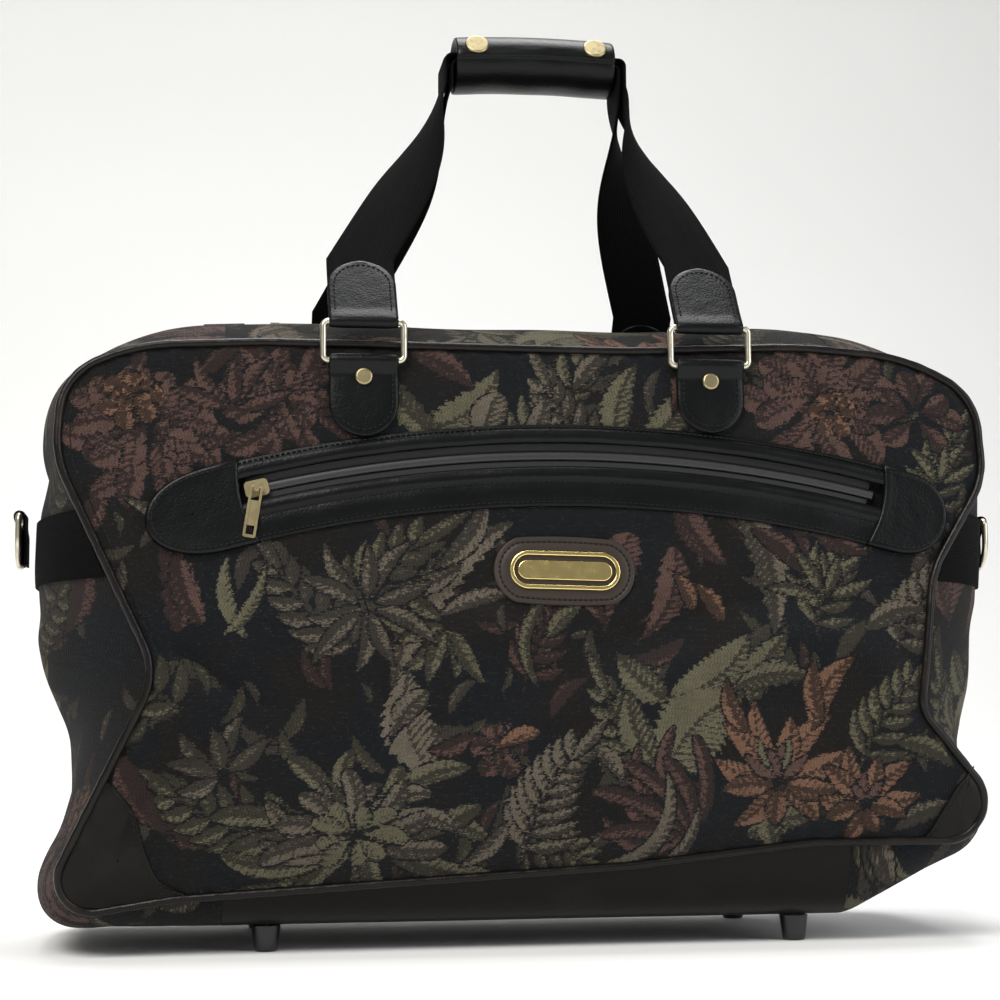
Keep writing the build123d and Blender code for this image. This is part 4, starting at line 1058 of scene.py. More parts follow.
def weave(u, v, repeats=False):
    """The depth in each colour, and the yarn's lightness, at points of the cloth.

    Later blades cut earlier ones. With repeats, the pattern fills the plane.
    """
    u, v = (axis.ravel() for axis in np.broadcast_arrays(u, v))
    depths = {colour: np.full(u.shape, -9.0) for colour in COLOURS}
    yarn = np.full(u.shape, 0.3)
    shifts = [(0, 0)]
    if repeats:
        spans = []
        for axis, size, start in ((u, REPEAT[0], 260), (v, REPEAT[1], -20)):
            first, last = np.floor((axis.min() + start) / size), np.floor((axis.max() + start) / size)
            spans.append(np.arange(first, last + 1) * size)
        shifts = [(across, up) for across in spans[0] for up in spans[1]]
    for du, dv in shifts:
        for piece in BLADES:
            x0, z0, x1, z1 = (piece[i] + (du, dv)[i % 2] for i in range(4))
            reach = np.hypot(x1 - x0, z1 - z0) / 2 + piece[4] / 2 + 6
            near = (np.abs(u - (x0 + x1) / 2) < reach) & (np.abs(v - (z0 + z1) / 2) < reach)
            if not near.any():
                continue
            near = np.flatnonzero(near)
            depth, light = blade_depth((x0, z0, x1, z1) + piece[4:], u[near], v[near])
            for colour in COLOURS:
                depths[colour][near] = np.minimum(depths[colour][near], -depth - 0.9)
            own = depths[piece[5]]
            own[near] = np.maximum(own[near], depth)
            over = near[depth > -0.4]
            yarn[over] = light[depth > -0.4]
    motif = np.stack([depths["rose"], depths["salmon"], depths["olive"]], axis=1)
    tone = np.stack([depths["taupe"], yarn, np.zeros(u.shape)], axis=1)
    return {"motif": motif, "tone": tone, "thread": np.stack([u, v, np.zeros(u.shape)], axis=1)}


def settle(piece, body, slot, *nodes):
    """Put a piece on its body and hide the frame's own parts that it stands for; the slot argument is not
    used.
    """
    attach(piece, body)
    if nodes:
        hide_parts(*nodes)
    return piece


def cloth(name, grid, pattern, turned, node):
    """A tapestry piece in place of one of the frame's panels."""
    piece = make_grid(name, grid, finish("tapestry"), attributes=pattern, turned=turned)
    return settle(piece, "bag", "tapestry", node)


# ---- shared shapes ------------------------------------------------------------------------
def on_plane(x, v, out):
    """A place on the sloping front: across, up the slope from the top seam, and out from it."""
    x, v, out = np.broadcast_arrays(*(np.asarray(k, float) for k in (x, v, out)))
    across = x[..., None] * np.array([1, 0, 0])
    return across + FACE_TOP + v[..., None] * FACE_UP + out[..., None] * FACE_OUT


def on_front(x, z, out, face=1):
    """A place out from the sculpted front, or from the same surface turned to the rear."""
    y = front_y(x, z)
    slope = (face_y(z + 1) - face_y(z - 1)) / 2
    size = np.sqrt(1 + slope**2)
    return np.stack([x, (y - out / size) * face, z + out * slope / size], axis=-1)


# Rings of a patch, low edge to middle: share of the outline, and of the thickness.
PATCH_RINGS = (
    (1.0, 0.0), (1.0, 0.45), (0.985, 0.8), (0.955, 1.0), (0.9, 1.04), (0.8, 1.0), (0.55, 1.0),
    (0.25, 1.0), (0.02, 1.0),
)


def make_patch(name, outline, place, thickness, material):
    """A flat patch: its outline shrinks towards its middle while its edge rounds up to its face."""
    outline = np.asarray(outline, float)
    middle = outline.mean(axis=0)
    rows = []
    for share, height in PATCH_RINGS:
        loop = middle + (outline - middle) * share
        rows.append(place(loop[:, 0], loop[:, 1], height * thickness))
    grid = np.array(rows)
    return make_grid(name, grid, material, round_columns=True, outwards=True)


def turned_by(turn, x, z):
    """Places turned anticlockwise about the origin."""
    cos, sin = np.cos(turn), np.sin(turn)
    return np.stack([x * cos - z * sin, x * sin + z * cos], axis=-1)


def stadium(length, height, count=96, middle=(0.0, 0.0), turn=0.0):
    """The outline of a bar with round ends."""
    half, radius = (length - height) / 2, height / 2
    angle = np.linspace(0, 2 * np.pi, count, endpoint=False)
    x = half * np.clip(np.cos(angle) * 3, -1, 1) + radius * np.cos(angle)
    z = radius * np.sin(angle)
    return np.array(middle) + turned_by(turn, x, z)


def mirrored(points):
    """The same points on the other side of the bag's middle, front to rear."""
    return points * np.array([1, -1, 1])


def ends_of(side):
    """The end's seam, from the top run round to the bottom run, and its bow at each step."""
    loop = edge_loop(4000)
    count = 300
    if side > 0:
        seam = loop_piece(loop, (ZIP_HALF, 332), (ZIP_HALF, 55), count)
    else:
        seam = loop_piece(loop, (-ZIP_HALF, 33), (-ZIP_HALF, 331), count)[::-1]
    share = np.linspace(0, 1, count)
    angle, rise, full = (np.interp(share, END_BOW[:, 0], END_BOW[:, k]) for k in (1, 2, 3))
    middle = np.interp(seam[:, 1], *np.array(END_MIDDLE).T) - np.abs(seam[:, 0])
    level = smooth_step((share - 0.24) / 0.07) * smooth_step((0.76 - share) / 0.06)
    rise = rise + (np.maximum(middle, 8) - rise) * level
    down = np.clip(-angle / 90, 0, 1)
    low = BASE_Z + (np.maximum(np.abs(seam[:, 0]) - ZIP_HALF - 4, 0) * 0.5 if side > 0 else 0)
    rise = rise * (1 - down) + np.maximum(seam[:, 1] - low, 7) * down * (1 + 0.2 * np.sin(np.pi * down))
    kernel = np.hanning(17) / np.hanning(17).sum()
    smoothed = [np.convolve(np.pad(k, 8, mode="edge"), kernel, "valid") for k in (angle, rise, full)]
    angle, rise, full = smoothed
    return seam, np.radians(angle), rise, full


def end_surface(side, across, out=0.0, rows=None):
    """The bag's end: at each step a curve rise * (1 - |s|^fullness) bows out between the seams."""
    seam, angle, rise, full = ends_of(side)
    if rows is not None:
        seam, angle, rise, full = seam[rows], angle[rows], rise[rows], full[rows]
    s = across[None, :]
    depth = (-face_y(seam[:, 1]) - 2.3)[:, None]
    bow = rise[:, None] * (1 - np.abs(s) ** full[:, None]) + out
    z = seam[:, 1][:, None] + 0 * s
    slack = (1 - s**2) ** 1.5 * smooth_step((195 - z) / 25) * smooth_step((z - 40) / 30)
    slack_high = (1 - s**2) ** 1.5 * smooth_step((z - 252) / 20) * smooth_step((322 - z) / 20)
    folds = 6 * np.sin(z / 17 + 2.4 * s + side) * np.exp(-(((s + 0.35) / 0.42) ** 2))
    folds += 5 * np.sin(z / 23 - 3 * s + 1.3 * side) * np.exp(-(((s - 0.4) / 0.35) ** 2))
    bow = bow + slack * folds * 0.8 + slack_high * 2.2 * np.sin(4 * s + z / 14)
    x = (np.abs(seam[:, 0])[:, None] + bow * np.cos(angle)[:, None]) * side
    z = seam[:, 1][:, None] + bow * np.sin(angle)[:, None]
    return np.stack([x, depth * s + 0 * x, z], axis=2)


def top_seam_z(x):
    """Height of the top seam along the bag."""
    run = loop_piece(edge_loop(4000), (-200, 329), (190, 329.5), 400)
    return np.interp(x, run[:, 0], run[:, 1])


def low_seam_z(x):
    """Height of the bottom seam along the bag."""
    run = loop_piece(edge_loop(4000), (190, 55), (-186, 31), 400)[::-1]
    return np.interp(x, run[:, 0], run[:, 1])


def crown_z(x, y):
    """Height of the top: the seam's height and a curve CROWN * (1 - s^2) between the seams."""
    z = top_seam_z(x)
    s = y / (-face_y(z) - 2.3)
    return z + CROWN * (1 - s**2)


# ---- settings -----------------------------------------------------------------------------
def colour_setting(name, text, default):
    return FloatVectorProperty(name=name, description=text, default=default, subtype="COLOR", min=0, max=1)


class BagCloth(bpy.types.PropertyGroup):
    fold_depth: FloatProperty(name="Fold depth", description="Depth of the folds, as a share", default=1.0)
    weave_pitch: FloatProperty(
        name="Weave pitch", description="Height of two rows of the weave, in millimetres", default=1.35
    )
    ground_blue: colour_setting("Ground, cool", "The dark ground's cooler yarn", (0.0065, 0.0082, 0.0108))
    ground_brown: colour_setting("Ground, warm", "The dark ground's warmer yarn", (0.0105, 0.0090, 0.0075))
    ground_fleck: colour_setting("Ground, flecks", "Single lighter stitches", (0.038, 0.036, 0.031))
    olive: colour_setting("Olive", "The leaves' green yarn", (0.142, 0.130, 0.082))
    taupe: colour_setting("Taupe", "The leaves' beige yarn", (0.156, 0.131, 0.098))
    rose: colour_setting("Rose", "The flowers' red yarn", (0.112, 0.064, 0.053))
    salmon: colour_setting("Salmon", "The lilies' yarn", (0.205, 0.110, 0.070))


class BagTrim(bpy.types.PropertyGroup):
    vinyl: colour_setting("Vinyl", "The black trim", (0.0020, 0.0024, 0.0026))
    base_vinyl: colour_setting("Base vinyl", "The base and corner patches", (0.0042, 0.0039, 0.0030))
    webbing: colour_setting("Webbing", "The handle straps and side bands", (0.0020, 0.0020, 0.0022))
    piping_radius: FloatProperty(
        name="Piping", description="Radius of the piping's bead", default=0.0023, unit="LENGTH"
    )


class BagMetal(bpy.types.PropertyGroup):
    brass: colour_setting("Antique brass", "The pulls, snaps and rivets", (0.36, 0.30, 0.17))
    ring: colour_setting("Ring metal", "The handle rings and end rings", (0.60, 0.56, 0.44))
    gilt: colour_setting("Gilt", "The badge's frame and plate", (0.90, 0.72, 0.30))


class BagStage(bpy.types.PropertyGroup):
    lens: FloatProperty(name="Lens", description="Focal length in millimetres", default=76.7)
    key_power: FloatProperty(
        name="Main light", description="Power of the main light", default=84.0, unit="POWER"
    )
    room_light: FloatProperty(
        name="Room light", description="Strength of the light all round", default=0.22
    )


# ---- operators ------------------------------------------------------------------------------
class BAG_OT_front(bpy.types.Operator):
    """The front and back cloth, sagging between their seams"""

    bl_idname = "bag.front"
    bl_label = "Front and back"

    def execute(self, context):
        for face, node, columns, rows in ((1, "front_panel", 380, 250), (-1, "back_panel", 300, 190)):
            flat = edge_patch(columns, rows)
            x, z = flat[..., 0], flat[..., 1]
            gap = edge_gap(x, z)
            if face > 0:
                y = front_y(x, z, gap)
                up = (z - SEAM_TOP_Z) / np.cos(LEAN) + POCKET_DROP + POCKET_RADIUS
                arc = np.abs(np.hypot(x - POCKET_X, up) - POCKET_RADIUS)
                y = y + 5 * smooth_step((10 - arc) / 3) * smooth_step((186 - np.abs(x - POCKET_X)) / 4)
                pattern = weave(x, z)
            else:
                dip = 1.8 * np.exp(-((gap / 5) ** 2))
                y = face_y(z) + dip - 0.7 * front_bulge(-x, z) * smooth_step(gap / 24)
                pattern = weave(-x, z + 96.0, repeats=True)
            grid = np.stack([x, y * face, z], axis=-1)
            cloth(f"cloth_{'front' if face > 0 else 'back'}", grid, pattern, face < 0, node)
        return {"FINISHED"}


class BAG_OT_ends(bpy.types.Operator):
    """The cloth round both ends, and the strips beside the main zip"""

    bl_idname = "bag.ends"
    bl_label = "Ends and top strips"

    def execute(self, context):
        across = np.linspace(-1, 1, 150)
        for end, side in SIDES.items():
            grid = end_surface(side, across)
            run = np.linspace(0, 1, len(grid))[:, None] * 430
            u = grid[..., 1] + 130 * side
            pattern = weave(u, 340 - run + 60 * side, repeats=True)
            cloth(f"cloth_end_{end}", grid, pattern, side > 0, f"side_gusset_{end}")
        x = np.linspace(-ZIP_HALF - 0.5, ZIP_HALF + 0.5, 260)[None, :]
        for face, side in (("front", -1), ("rear", 1)):
            edge = -face_y(top_seam_z(x)) - 2.3
            inner = 11.0
            s = np.linspace(0, 1, 60)[:, None]
            y = inner + (edge - inner) * s
            z = crown_z(x, y) + 0.7 * np.sin(x / 19 + 2 * s) * np.sin(np.pi * s)
            grid = np.stack([x + 0 * y, side * y, z], axis=-1)
            hem = grid[:1] + np.array([0, side, -3.4])
            grid = np.concatenate([hem, grid])
            pattern = weave(grid[..., 0] + 70, 128.0 * side + grid[..., 1] + 330, repeats=True)
            cloth(f"cloth_top_{face}", grid, pattern, side > 0, f"top_strip_{face}")
        return {"FINISHED"}


class BAG_OT_base(bpy.types.Operator):
    """The vinyl base between the two bottom seams"""

    bl_idname = "bag.base"
    bl_label = "Base"

    def execute(self, context):
        x = np.linspace(-ZIP_HALF, ZIP_HALF, 200)[:, None]
        s = np.sign(np.linspace(-1, 1, 120)) * np.abs(np.linspace(-1, 1, 120)) ** 0.5
        seam = low_seam_z(x)
        half = -face_y(seam) - 2.3
        fall = (seam - BASE_Z) * (1 - np.abs(s[None]) ** 12)
        z = seam - fall + 0.5 * np.sin(x / 26) * np.abs(s[None]) ** 8
        grid = np.stack([x + 0 * z, half * s[None], z], axis=-1)
        thread = np.stack([grid[..., 0], grid[..., 1]], axis=-1)
        piece = make_grid("base_cover", grid, finish("base_vinyl"), thread)
        settle(piece, "bag", "base_vinyl", "base_panel")
        return {"FINISHED"}


class BAG_OT_piping(bpy.types.Operator):
    """The piping: a round bead along each face's edge"""

    bl_idname = "bag.piping"
    bl_label = "Piping"

    def execute(self, context):
        loop = edge_loop(820)
        radius = context.scene.bag_trim.piping_radius / MM
        for label, face in (("front", 1), ("back", -1)):
            path = np.stack([loop[:, 0], (face_y(loop[:, 1]) + 0.5) * face, loop[:, 1]], axis=1)
            along = unit(np.roll(path, -1, axis=0) - np.roll(path, 1, axis=0))
            out = np.array([0, -face, 0])
            across = unit(np.cross(along, out))
            wave = 1 + 0.05 * np.sin(np.arange(len(path)) * 0.9) * np.sin(np.arange(len(path)) * 0.23)
            profile = round_profile(radius, 12)[None] * wave[:, None, None]
            bead = make_sweep(f"piping_bead_{label}", path, across, out, profile, finish("piping"), True)
            settle(bead, "bag", "piping", f"piping_{label}")
        return {"FINISHED"}


class BAG_OT_corners(bpy.types.Operator):
    """The vinyl patches on the four lower corners"""

    bl_idname = "bag.corners"
    bl_label = "Corner patches"

    def execute(self, context):
        for end in SIDES:
            first, last, inner = CORNER_PATCHES[end]
            edge = loop_piece(edge_loop(4000), first, last, 60)
            middle = edge.mean(axis=0)
            edge = edge + unit(middle - edge) * 1.2
            inside = spline(inner, 40)
            outline = np.vstack([edge, inside[::-1][1:-1]])
            for label, face in FACES.items():

                def place(x, z, out):
                    return on_front(x, z, out + 0.5, face)

                patch = make_patch(f"corner_{label}_{end}", outline, place, 1.6, finish("base_vinyl"))
                node = f"corner_patch_{'front' if face > 0 else 'back'}_{end}"
                settle(patch, "bag", "black_vinyl", node)
                row = inside + unit(middle - inside) * 3
                seam = place(row[:, 0], row[:, 1], 1.7)
                make_stitches(f"corner_stitches_{label}_{end}", seam, np.array([0, -face, 0]), "bag")
        return {"FINISHED"}


class BAG_OT_pocket(bpy.types.Operator):
    """The pocket: two welted strips, end caps, tape and coil, and the pouch behind"""

    bl_idname = "bag.pocket"
    bl_label = "Front pocket"

    def execute(self, context):
        def arc(half, radius=POCKET_RADIUS, count=200):
            turn = np.linspace(-half, half, count) / POCKET_RADIUS
            x = POCKET_X + radius * np.sin(turn)
            v = -POCKET_DROP - POCKET_RADIUS + radius * np.cos(turn)
            return x, v, turn

        def on_band(x, v, out):
            return on_plane(x, v, out + 0.35)

        x, v, turn = arc(190, count=240)
        path = on_plane(x, v, 0)
        up = on_plane(x + np.sin(turn), v + np.cos(turn), 0) - path
        for name, profile in POCKET_STRIPS.items():
            shape = np.array(profile)
            wave = 1 + 0.10 * np.sin(turn * 41 + 2) + 0.06 * np.sin(turn * 97)
            heights = shape[:, 1] * wave[:, None]
            shapes = np.stack(np.broadcast_arrays(shape[:, 0], heights), axis=-1)
            piece = make_sweep(f"pocket_strip_{name}", path, up, FACE_OUT, shapes, finish("black_vinyl"))
            settle(piece, "bag", "black_vinyl", "pocket_band")
        for name, across, out in (("low", -26.4, 2.1), ("middle", -15.4, 1.9), ("high", 15.4, 2.0)):
            x, v, turn = arc(188, POCKET_RADIUS + across)
            make_stitches(f"pocket_stitches_{name}", on_plane(x, v, out), FACE_OUT, "bag", 3.0)
        for end, side in SIDES.items():
            turn = side * 190 / POCKET_RADIUS
            inner = POCKET_RADIUS - 6
            base = (POCKET_X + inner * np.sin(turn), -POCKET_DROP - POCKET_RADIUS + inner * np.cos(turn))
            around = np.linspace(-np.pi / 2, np.pi / 2, 60)
            back = np.linspace(0.05, 0.95, 20)
            reach, half, root = POCKET_CAP_REACH[end], POCKET_CAP_HALF, -13.0
            nose, hollow = reach * np.cos(around) ** 0.8, root + 4 * np.sin(np.pi * back)
            along = np.concatenate([[root], nose, [root], hollow])
            up = np.concatenate([[-half], half * np.sin(around), [half], half - 2 * half * back])
            outline = np.array(base) + turned_by(-turn, side * along, up)
            cap = make_patch(f"pocket_cap_{end}", outline, on_band, 3.6, finish("black_vinyl"))
            settle(cap, "bag", "black_vinyl", f"pocket_end_cap_{end}")
            middle = outline.mean(axis=0)
            row = middle + (outline[: len(around) + 2] - middle) * 0.86
            seam = on_band(row[:, 0], row[:, 1], 3.75)
            make_stitches(f"pocket_cap_stitches_{end}", seam, FACE_OUT, "bag", 3.0)
        x, v, turn = arc(176, count=500)
        path = on_plane(x, v, 0)
        up = on_plane(x + np.sin(turn), v + np.cos(turn), 0) - path
        for label, low, high in (("low", -12.5, -2.9), ("high", 2.9, 12.5)):
            flat = [(low, -3.05), (low, -2.45), (high, -2.35), (high, -3.05)]
            tape = make_sweep(f"pocket_tape_{label}", path[::5], up[::5], FACE_OUT, flat, finish("zip_tape"))
            settle(tape, "bag", "zip_tape", "pocket_zip_tape")
        ridge = 0.86 + 0.14 * np.cos(np.arange(500) * np.pi)
        rows = round_profile(2.9, 10, 0.4)[None] * ridge[:, None, None] + np.array([0, -2.0])
        coil = make_sweep("pocket_coil", path, up, FACE_OUT, rows, finish("coil"))
        settle(coil, "bag", "zip_coil", "pocket_zip_coil")
        u = np.linspace(-168, 168, 60)[None]
        s = np.linspace(0, 1, 24)[:, None]
        z = 250 - (u - POCKET_X) ** 2 / 1460 - 112 * s
        behind = 17 + 5 * np.sin(np.pi * s)
        grid = np.stack([u + POCKET_X + 0 * z, face_y(z) + behind + 0 * u, z], axis=-1)
        settle(make_grid("pouch", grid, finish("lining")), "bag", "lining_cloth", "pocket_pouch")
        return {"FINISHED"}


class BAG_OT_badge(bpy.types.Operator):
    """The stitched vinyl patch under the badge"""

    bl_idname = "bag.badge"
    bl_label = "Badge patch"

    def execute(self, context):
        def place(x, v, out):
            return on_plane(x, v, out + 0.3)

        rows = []
        for length, height, out in BADGE_RINGS:
            loop = stadium(length, height, 120, BADGE_PLACE, BADGE_TURN)
            rows.append(place(loop[:, 0], loop[:, 1], out))
        grid = np.array(rows)
        piece = make_grid("badge_patch", grid, finish("badge_vinyl"), round_columns=True, outwards=True)
        settle(piece, "bag", "badge_vinyl", "nameplate_patch")
        row = stadium(71.9, 31.9, 240, BADGE_PLACE, BADGE_TURN)
        row = np.vstack([row, row[:1]])
        make_stitches("badge_stitches", place(row[:, 0], row[:, 1], 1.55), FACE_OUT, "bag", 2.9)
        return {"FINISHED"}


def folded_tab(name, place, reach, radius, thick, gap):
    """A vinyl strip folded round a bar: up one side, round it, and down the other, with arched ends.

    place(v, w) gives a point from the bar: v along the tab away from it, w to its outer side.
    """
    turn = np.linspace(0, np.pi, 18)
    bend = np.stack([-radius * np.sin(turn), radius * np.cos(turn)], axis=1)
    near = np.linspace(0, 1, 8)[1:-1]
    ease = gap + (radius - gap) * (1 - smooth_step(near))
    lead = np.stack([near * 3.2 * radius, ease], axis=1)
    far = np.linspace(3.2 * radius, reach, 34)
    layer = np.stack([far, np.full(34, gap)], axis=1)
    shape = np.vstack([layer[::-1], lead[::-1], bend, lead * [1, -1], layer * [1, -1]])
    path = place(shape[:, 0], shape[:, 1])
    along = unit(np.gradient(path, axis=0))
    out = unit(np.cross(along, np.array([1.0, 0, 0])))
    left = np.clip((reach - shape[:, 0]) / (WEBBING / 2), 0, 1)
    width = WEBBING * np.maximum(np.sqrt(1 - (1 - left) ** 2), 0.1)
    section = strap_profile(width, thick)
    return make_sweep(name, path, np.array([1.0, 0, 0]), out, section, finish("black_vinyl"))


class BAG_OT_tabs(bpy.types.Operator):
    """The vinyl tabs that hold the handle rings, below and above"""

    bl_idname = "bag.tabs"
    bl_label = "Handle tabs"

    def execute(self, context):
        bar_low = np.array([0, -RING_Y, RING_LOW_Z])
        bar_high = np.array([0, -RING_Y, RING_LOW_Z + RING_RISE])
        lean_up = np.array([0, np.sin(TAB_LEAN), np.cos(TAB_LEAN)])
        lean_out = np.array([0, -np.cos(TAB_LEAN), np.sin(TAB_LEAN)])
        for end, side in SIDES.items():
            x = np.array([side * HANDLE_X, 0, 0])
            reach = LOW_TAB_REACH[end]
            for label, face in FACES.items():
                flip = np.array([1, face, 1])

                def low(v, w):
                    drop = smooth_step(v / 7) * 2.0
                    return (x + bar_low - v[:, None] * FACE_UP + (w - drop)[:, None] * FACE_OUT) * flip

                def high(v, w):
                    return (x + bar_high + v[:, None] * lean_up + w[:, None] * lean_out) * flip

                tab = folded_tab(f"tab_low_{label}_{end}", low, reach, 2.9, 2.0, 1.0)
                settle(tab, "bag", "black_vinyl", f"lower_tab_{label}_{end}")
                tab = folded_tab(f"tab_high_{label}_{end}", high, HIGH_TAB, 2.8, 1.6, 2.1)
                settle(tab, "handles", "black_vinyl", f"upper_tab_{label}_{end}")
                turn = np.linspace(0, np.pi, 30)
                sides = np.linspace(0, 1, 14)[:, None]
                rows = (("low", low, "bag", reach, 2.15), ("high", high, "handles", HIGH_TAB, 3.0))
                for name, make, body, length, w in rows:
                    radius = 15.6
                    foot = length - 19
                    arch = np.stack([radius * np.cos(turn), foot + radius * np.sin(turn)], axis=1)
                    right = np.hstack([np.full((14, 1), radius), 6 + (foot - 6) * sides])
                    row = np.vstack([right, arch, right[::-1] * [-1, 1]])
                    line = make(row[:, 1], np.full(len(row), w)) + row[:, :1] * np.array([1, 0, 0])
                    out = FACE_OUT if name == "low" else lean_out
                    make_stitches(f"tab_stitches_{name}_{label}_{end}", line, out * flip, body, 3.0)
        return {"FINISHED"}


def strap_path(nesting, twist):
    """A strap's middle line and the way its width lies: legs that turn a quarter, and a level run."""
    half_span = GRIP_HALF + 2.5 + nesting
    level = GRIP_Z + 1.75 - (STRAP_NESTING - nesting)
    lean = np.array([0, np.sin(TAB_LEAN), np.cos(TAB_LEAN)])
    legs = {}
    for side in (-1, 1):
        start = np.array([side * HANDLE_X, -RING_Y, RING_LOW_Z + RING_RISE])
        tab_top = start + lean * (HIGH_TAB + 3.9)
        leg_top = np.array([GRIP_X + side * half_span, 0, LEG_TOP_Z])
        t = np.linspace(0, 1, 60)[:, None]
        bow = np.array([-side * 4.5, 2.0, 0]) * np.sin(np.pi * t)
        leg = tab_top + (leg_top - tab_top) * t + bow
        turn = np.pi / 2 * smooth_step(t[:, 0]) ** 1.7
        across = np.stack([np.cos(turn), side * twist * np.sin(turn), 0 * turn], axis=1)
        heading = lean * (1 - t) + np.array([0, 0, 1]) * t
        across = across - heading * (np.sum(across * heading, axis=1) / np.sum(heading**2, axis=1))[:, None]
        tail = start + lean * np.linspace(5, HIGH_TAB + 3, 12)[:, None]
        corner = np.linspace(0, np.pi / 2, 10)[:, None]
        x = GRIP_X + side * (half_span - 4)
        rise = np.linspace(LEG_TOP_Z + 1, level - 4.5, 8)[:, None]
        climb = np.hstack([np.full((8, 1), GRIP_X + side * half_span), np.zeros((8, 1)), rise])
        bend = np.hstack([x + side * 4 * np.cos(corner), 0 * corner, level - 4 + 4 * np.sin(corner)])
        path = np.vstack([tail, leg, climb, bend])
        flat = np.tile([1.0, 0, 0], (12, 1))
        level_across = np.tile([0, float(side * twist), 0], (18, 1))
        legs[side] = (path, np.vstack([flat, across, level_across]))
    left, right = legs[-1], legs[1]
    run = np.linspace(left[0][-1], right[0][-1], 24)[1:-1]
    path = np.vstack([left[0], run, right[0][::-1]])
    across = np.vstack([left[1], np.tile(left[1][-1], (22, 1)), -right[1][::-1]])
    return path, unit(across)


class BAG_OT_handles(bpy.types.Operator):
    """The two webbing straps and the wrap that joins them"""

    bl_idname = "bag.handles"
    bl_label = "Straps and grip"

    def execute(self, context):
        for label, face, nesting, twist in (("front", 1, STRAP_NESTING, 1), ("rear", -1, 0.0, -1)):
            path, across = strap_path(nesting, twist)
            if face < 0:
                path, across = mirrored(path), mirrored(across)
            out = unit(np.cross(unit(np.gradient(path, axis=0)), across))
            section = strap_profile(WEBBING, STRAP_THICK)
            piece = make_sweep(f"strap_{label}", path, across, out, section, finish("webbing"))
            settle(piece, "handles", "webbing", f"{label}_strap")
        turn = np.linspace(0, 2 * np.pi, 120, endpoint=False)
        front = np.cos(turn) > 0
        angle = np.where(front, np.arctan2(np.sin(turn), np.cos(turn)), 9)
        flap = 1 - 0.075 * smooth_step((np.radians(2) - angle) / 0.06)
        rear_flap = 0.925 + 0.075 * smooth_step((3.6 - turn) / 0.5) * (turn < np.pi * 1.5)
        flap = np.where(front & (np.sin(turn) > -0.995), flap, rear_flap)
        flap = np.where(np.sin(turn) > 0.04, 1.0, flap)
        ends = [(3.5, 0.78), (1.2, 0.86), (0.0, 0.93), (0.3, 0.98), (1.6, 1.0)]
        width = 2 * GRIP_HALF
        stations = ends + [(a, 1.0) for a in np.linspace(4, width - 4, 60)]
        stations += [(width - a, r) for a, r in ends[::-1]]
        along, share = np.array(stations).T
        x = GRIP_X - GRIP_HALF + along
        bow = -1.2 + 1.6 * (1 - ((x - GRIP_X) / GRIP_HALF) ** 2)
        crinkle = 1 + 0.012 * np.sin(x / 6)[:, None] * np.sin(3 * turn)[None] * (np.sin(turn) < 0.3)[None]
        radius = share[:, None] * flap[None] * crinkle
        y = -22 * np.cos(turn) * radius
        z = GRIP_Z + bow[:, None] + 17.4 * np.sin(turn) * radius
        grid = np.stack(np.broadcast_arrays(x[:, None], y, z), axis=-1)
        piece = make_grid("grip_cover", grid, finish("black_vinyl"), round_columns=True, outwards=True)
        settle(piece, "handles", "black_vinyl", "grip_wrap")
        return {"FINISHED"}


class BAG_OT_bands(bpy.types.Operator):
    """The webbing band across each end and the loop that holds its ring"""

    bl_idname = "bag.bands"
    bl_label = "End bands"

    def execute(self, context):
        for end, side in SIDES.items():
            seam = ends_of(side)[0]
            rows = np.flatnonzero((seam[:, 1] > BAND_LOW) & (seam[:, 1] < BAND_HIGH))
            rows = rows[rows < 220]
            across = np.linspace(-0.985, 0.985, 110)
            under, over = (end_surface(side, across, out, rows) for out in (0.2, 2.0))
            grid = np.concatenate([under[:1], over, under[-1:]])
            thread = np.stack([grid[..., 1], grid[..., 2] - 219], axis=-1)
            piece = make_grid(f"band_{end}", grid, finish("webbing"), thread, turned=side > 0)
            settle(piece, "bag", "webbing", f"side_band_{end}")
            x0 = D_RING_X * side

            def place(v, w):
                lean = smooth_step(v / 12) * 2.6
                return np.stack([x0 + side * (w - lean), 0 * v, D_RING_Z - v], axis=1)

            turn = np.linspace(0, np.pi, 18)
            bend = np.stack([-2.75 * np.sin(turn), 2.75 * np.cos(turn)], axis=1)
            v = np.linspace(1, LOOP_LEG, 20)
            w = 1.0 + 1.75 * (1 - smooth_step(v / 9))
            shape = np.vstack([np.stack([v, w], axis=1)[::-1], bend, np.stack([v, -w], axis=1)])
            path = place(shape[:, 0], shape[:, 1])
            out = unit(np.cross(unit(np.gradient(path, axis=0)), np.array([0, 1.0, 0])))
            section = strap_profile(LOOP_WIDTH, 1.5)
            across = np.array([0, 1.0, 0])
            loop = make_sweep(f"ring_loop_{end}", path, across, out, section, finish("webbing"))
            settle(loop, "bag", "webbing", f"d_ring_loop_{end}")
        return {"FINISHED"}


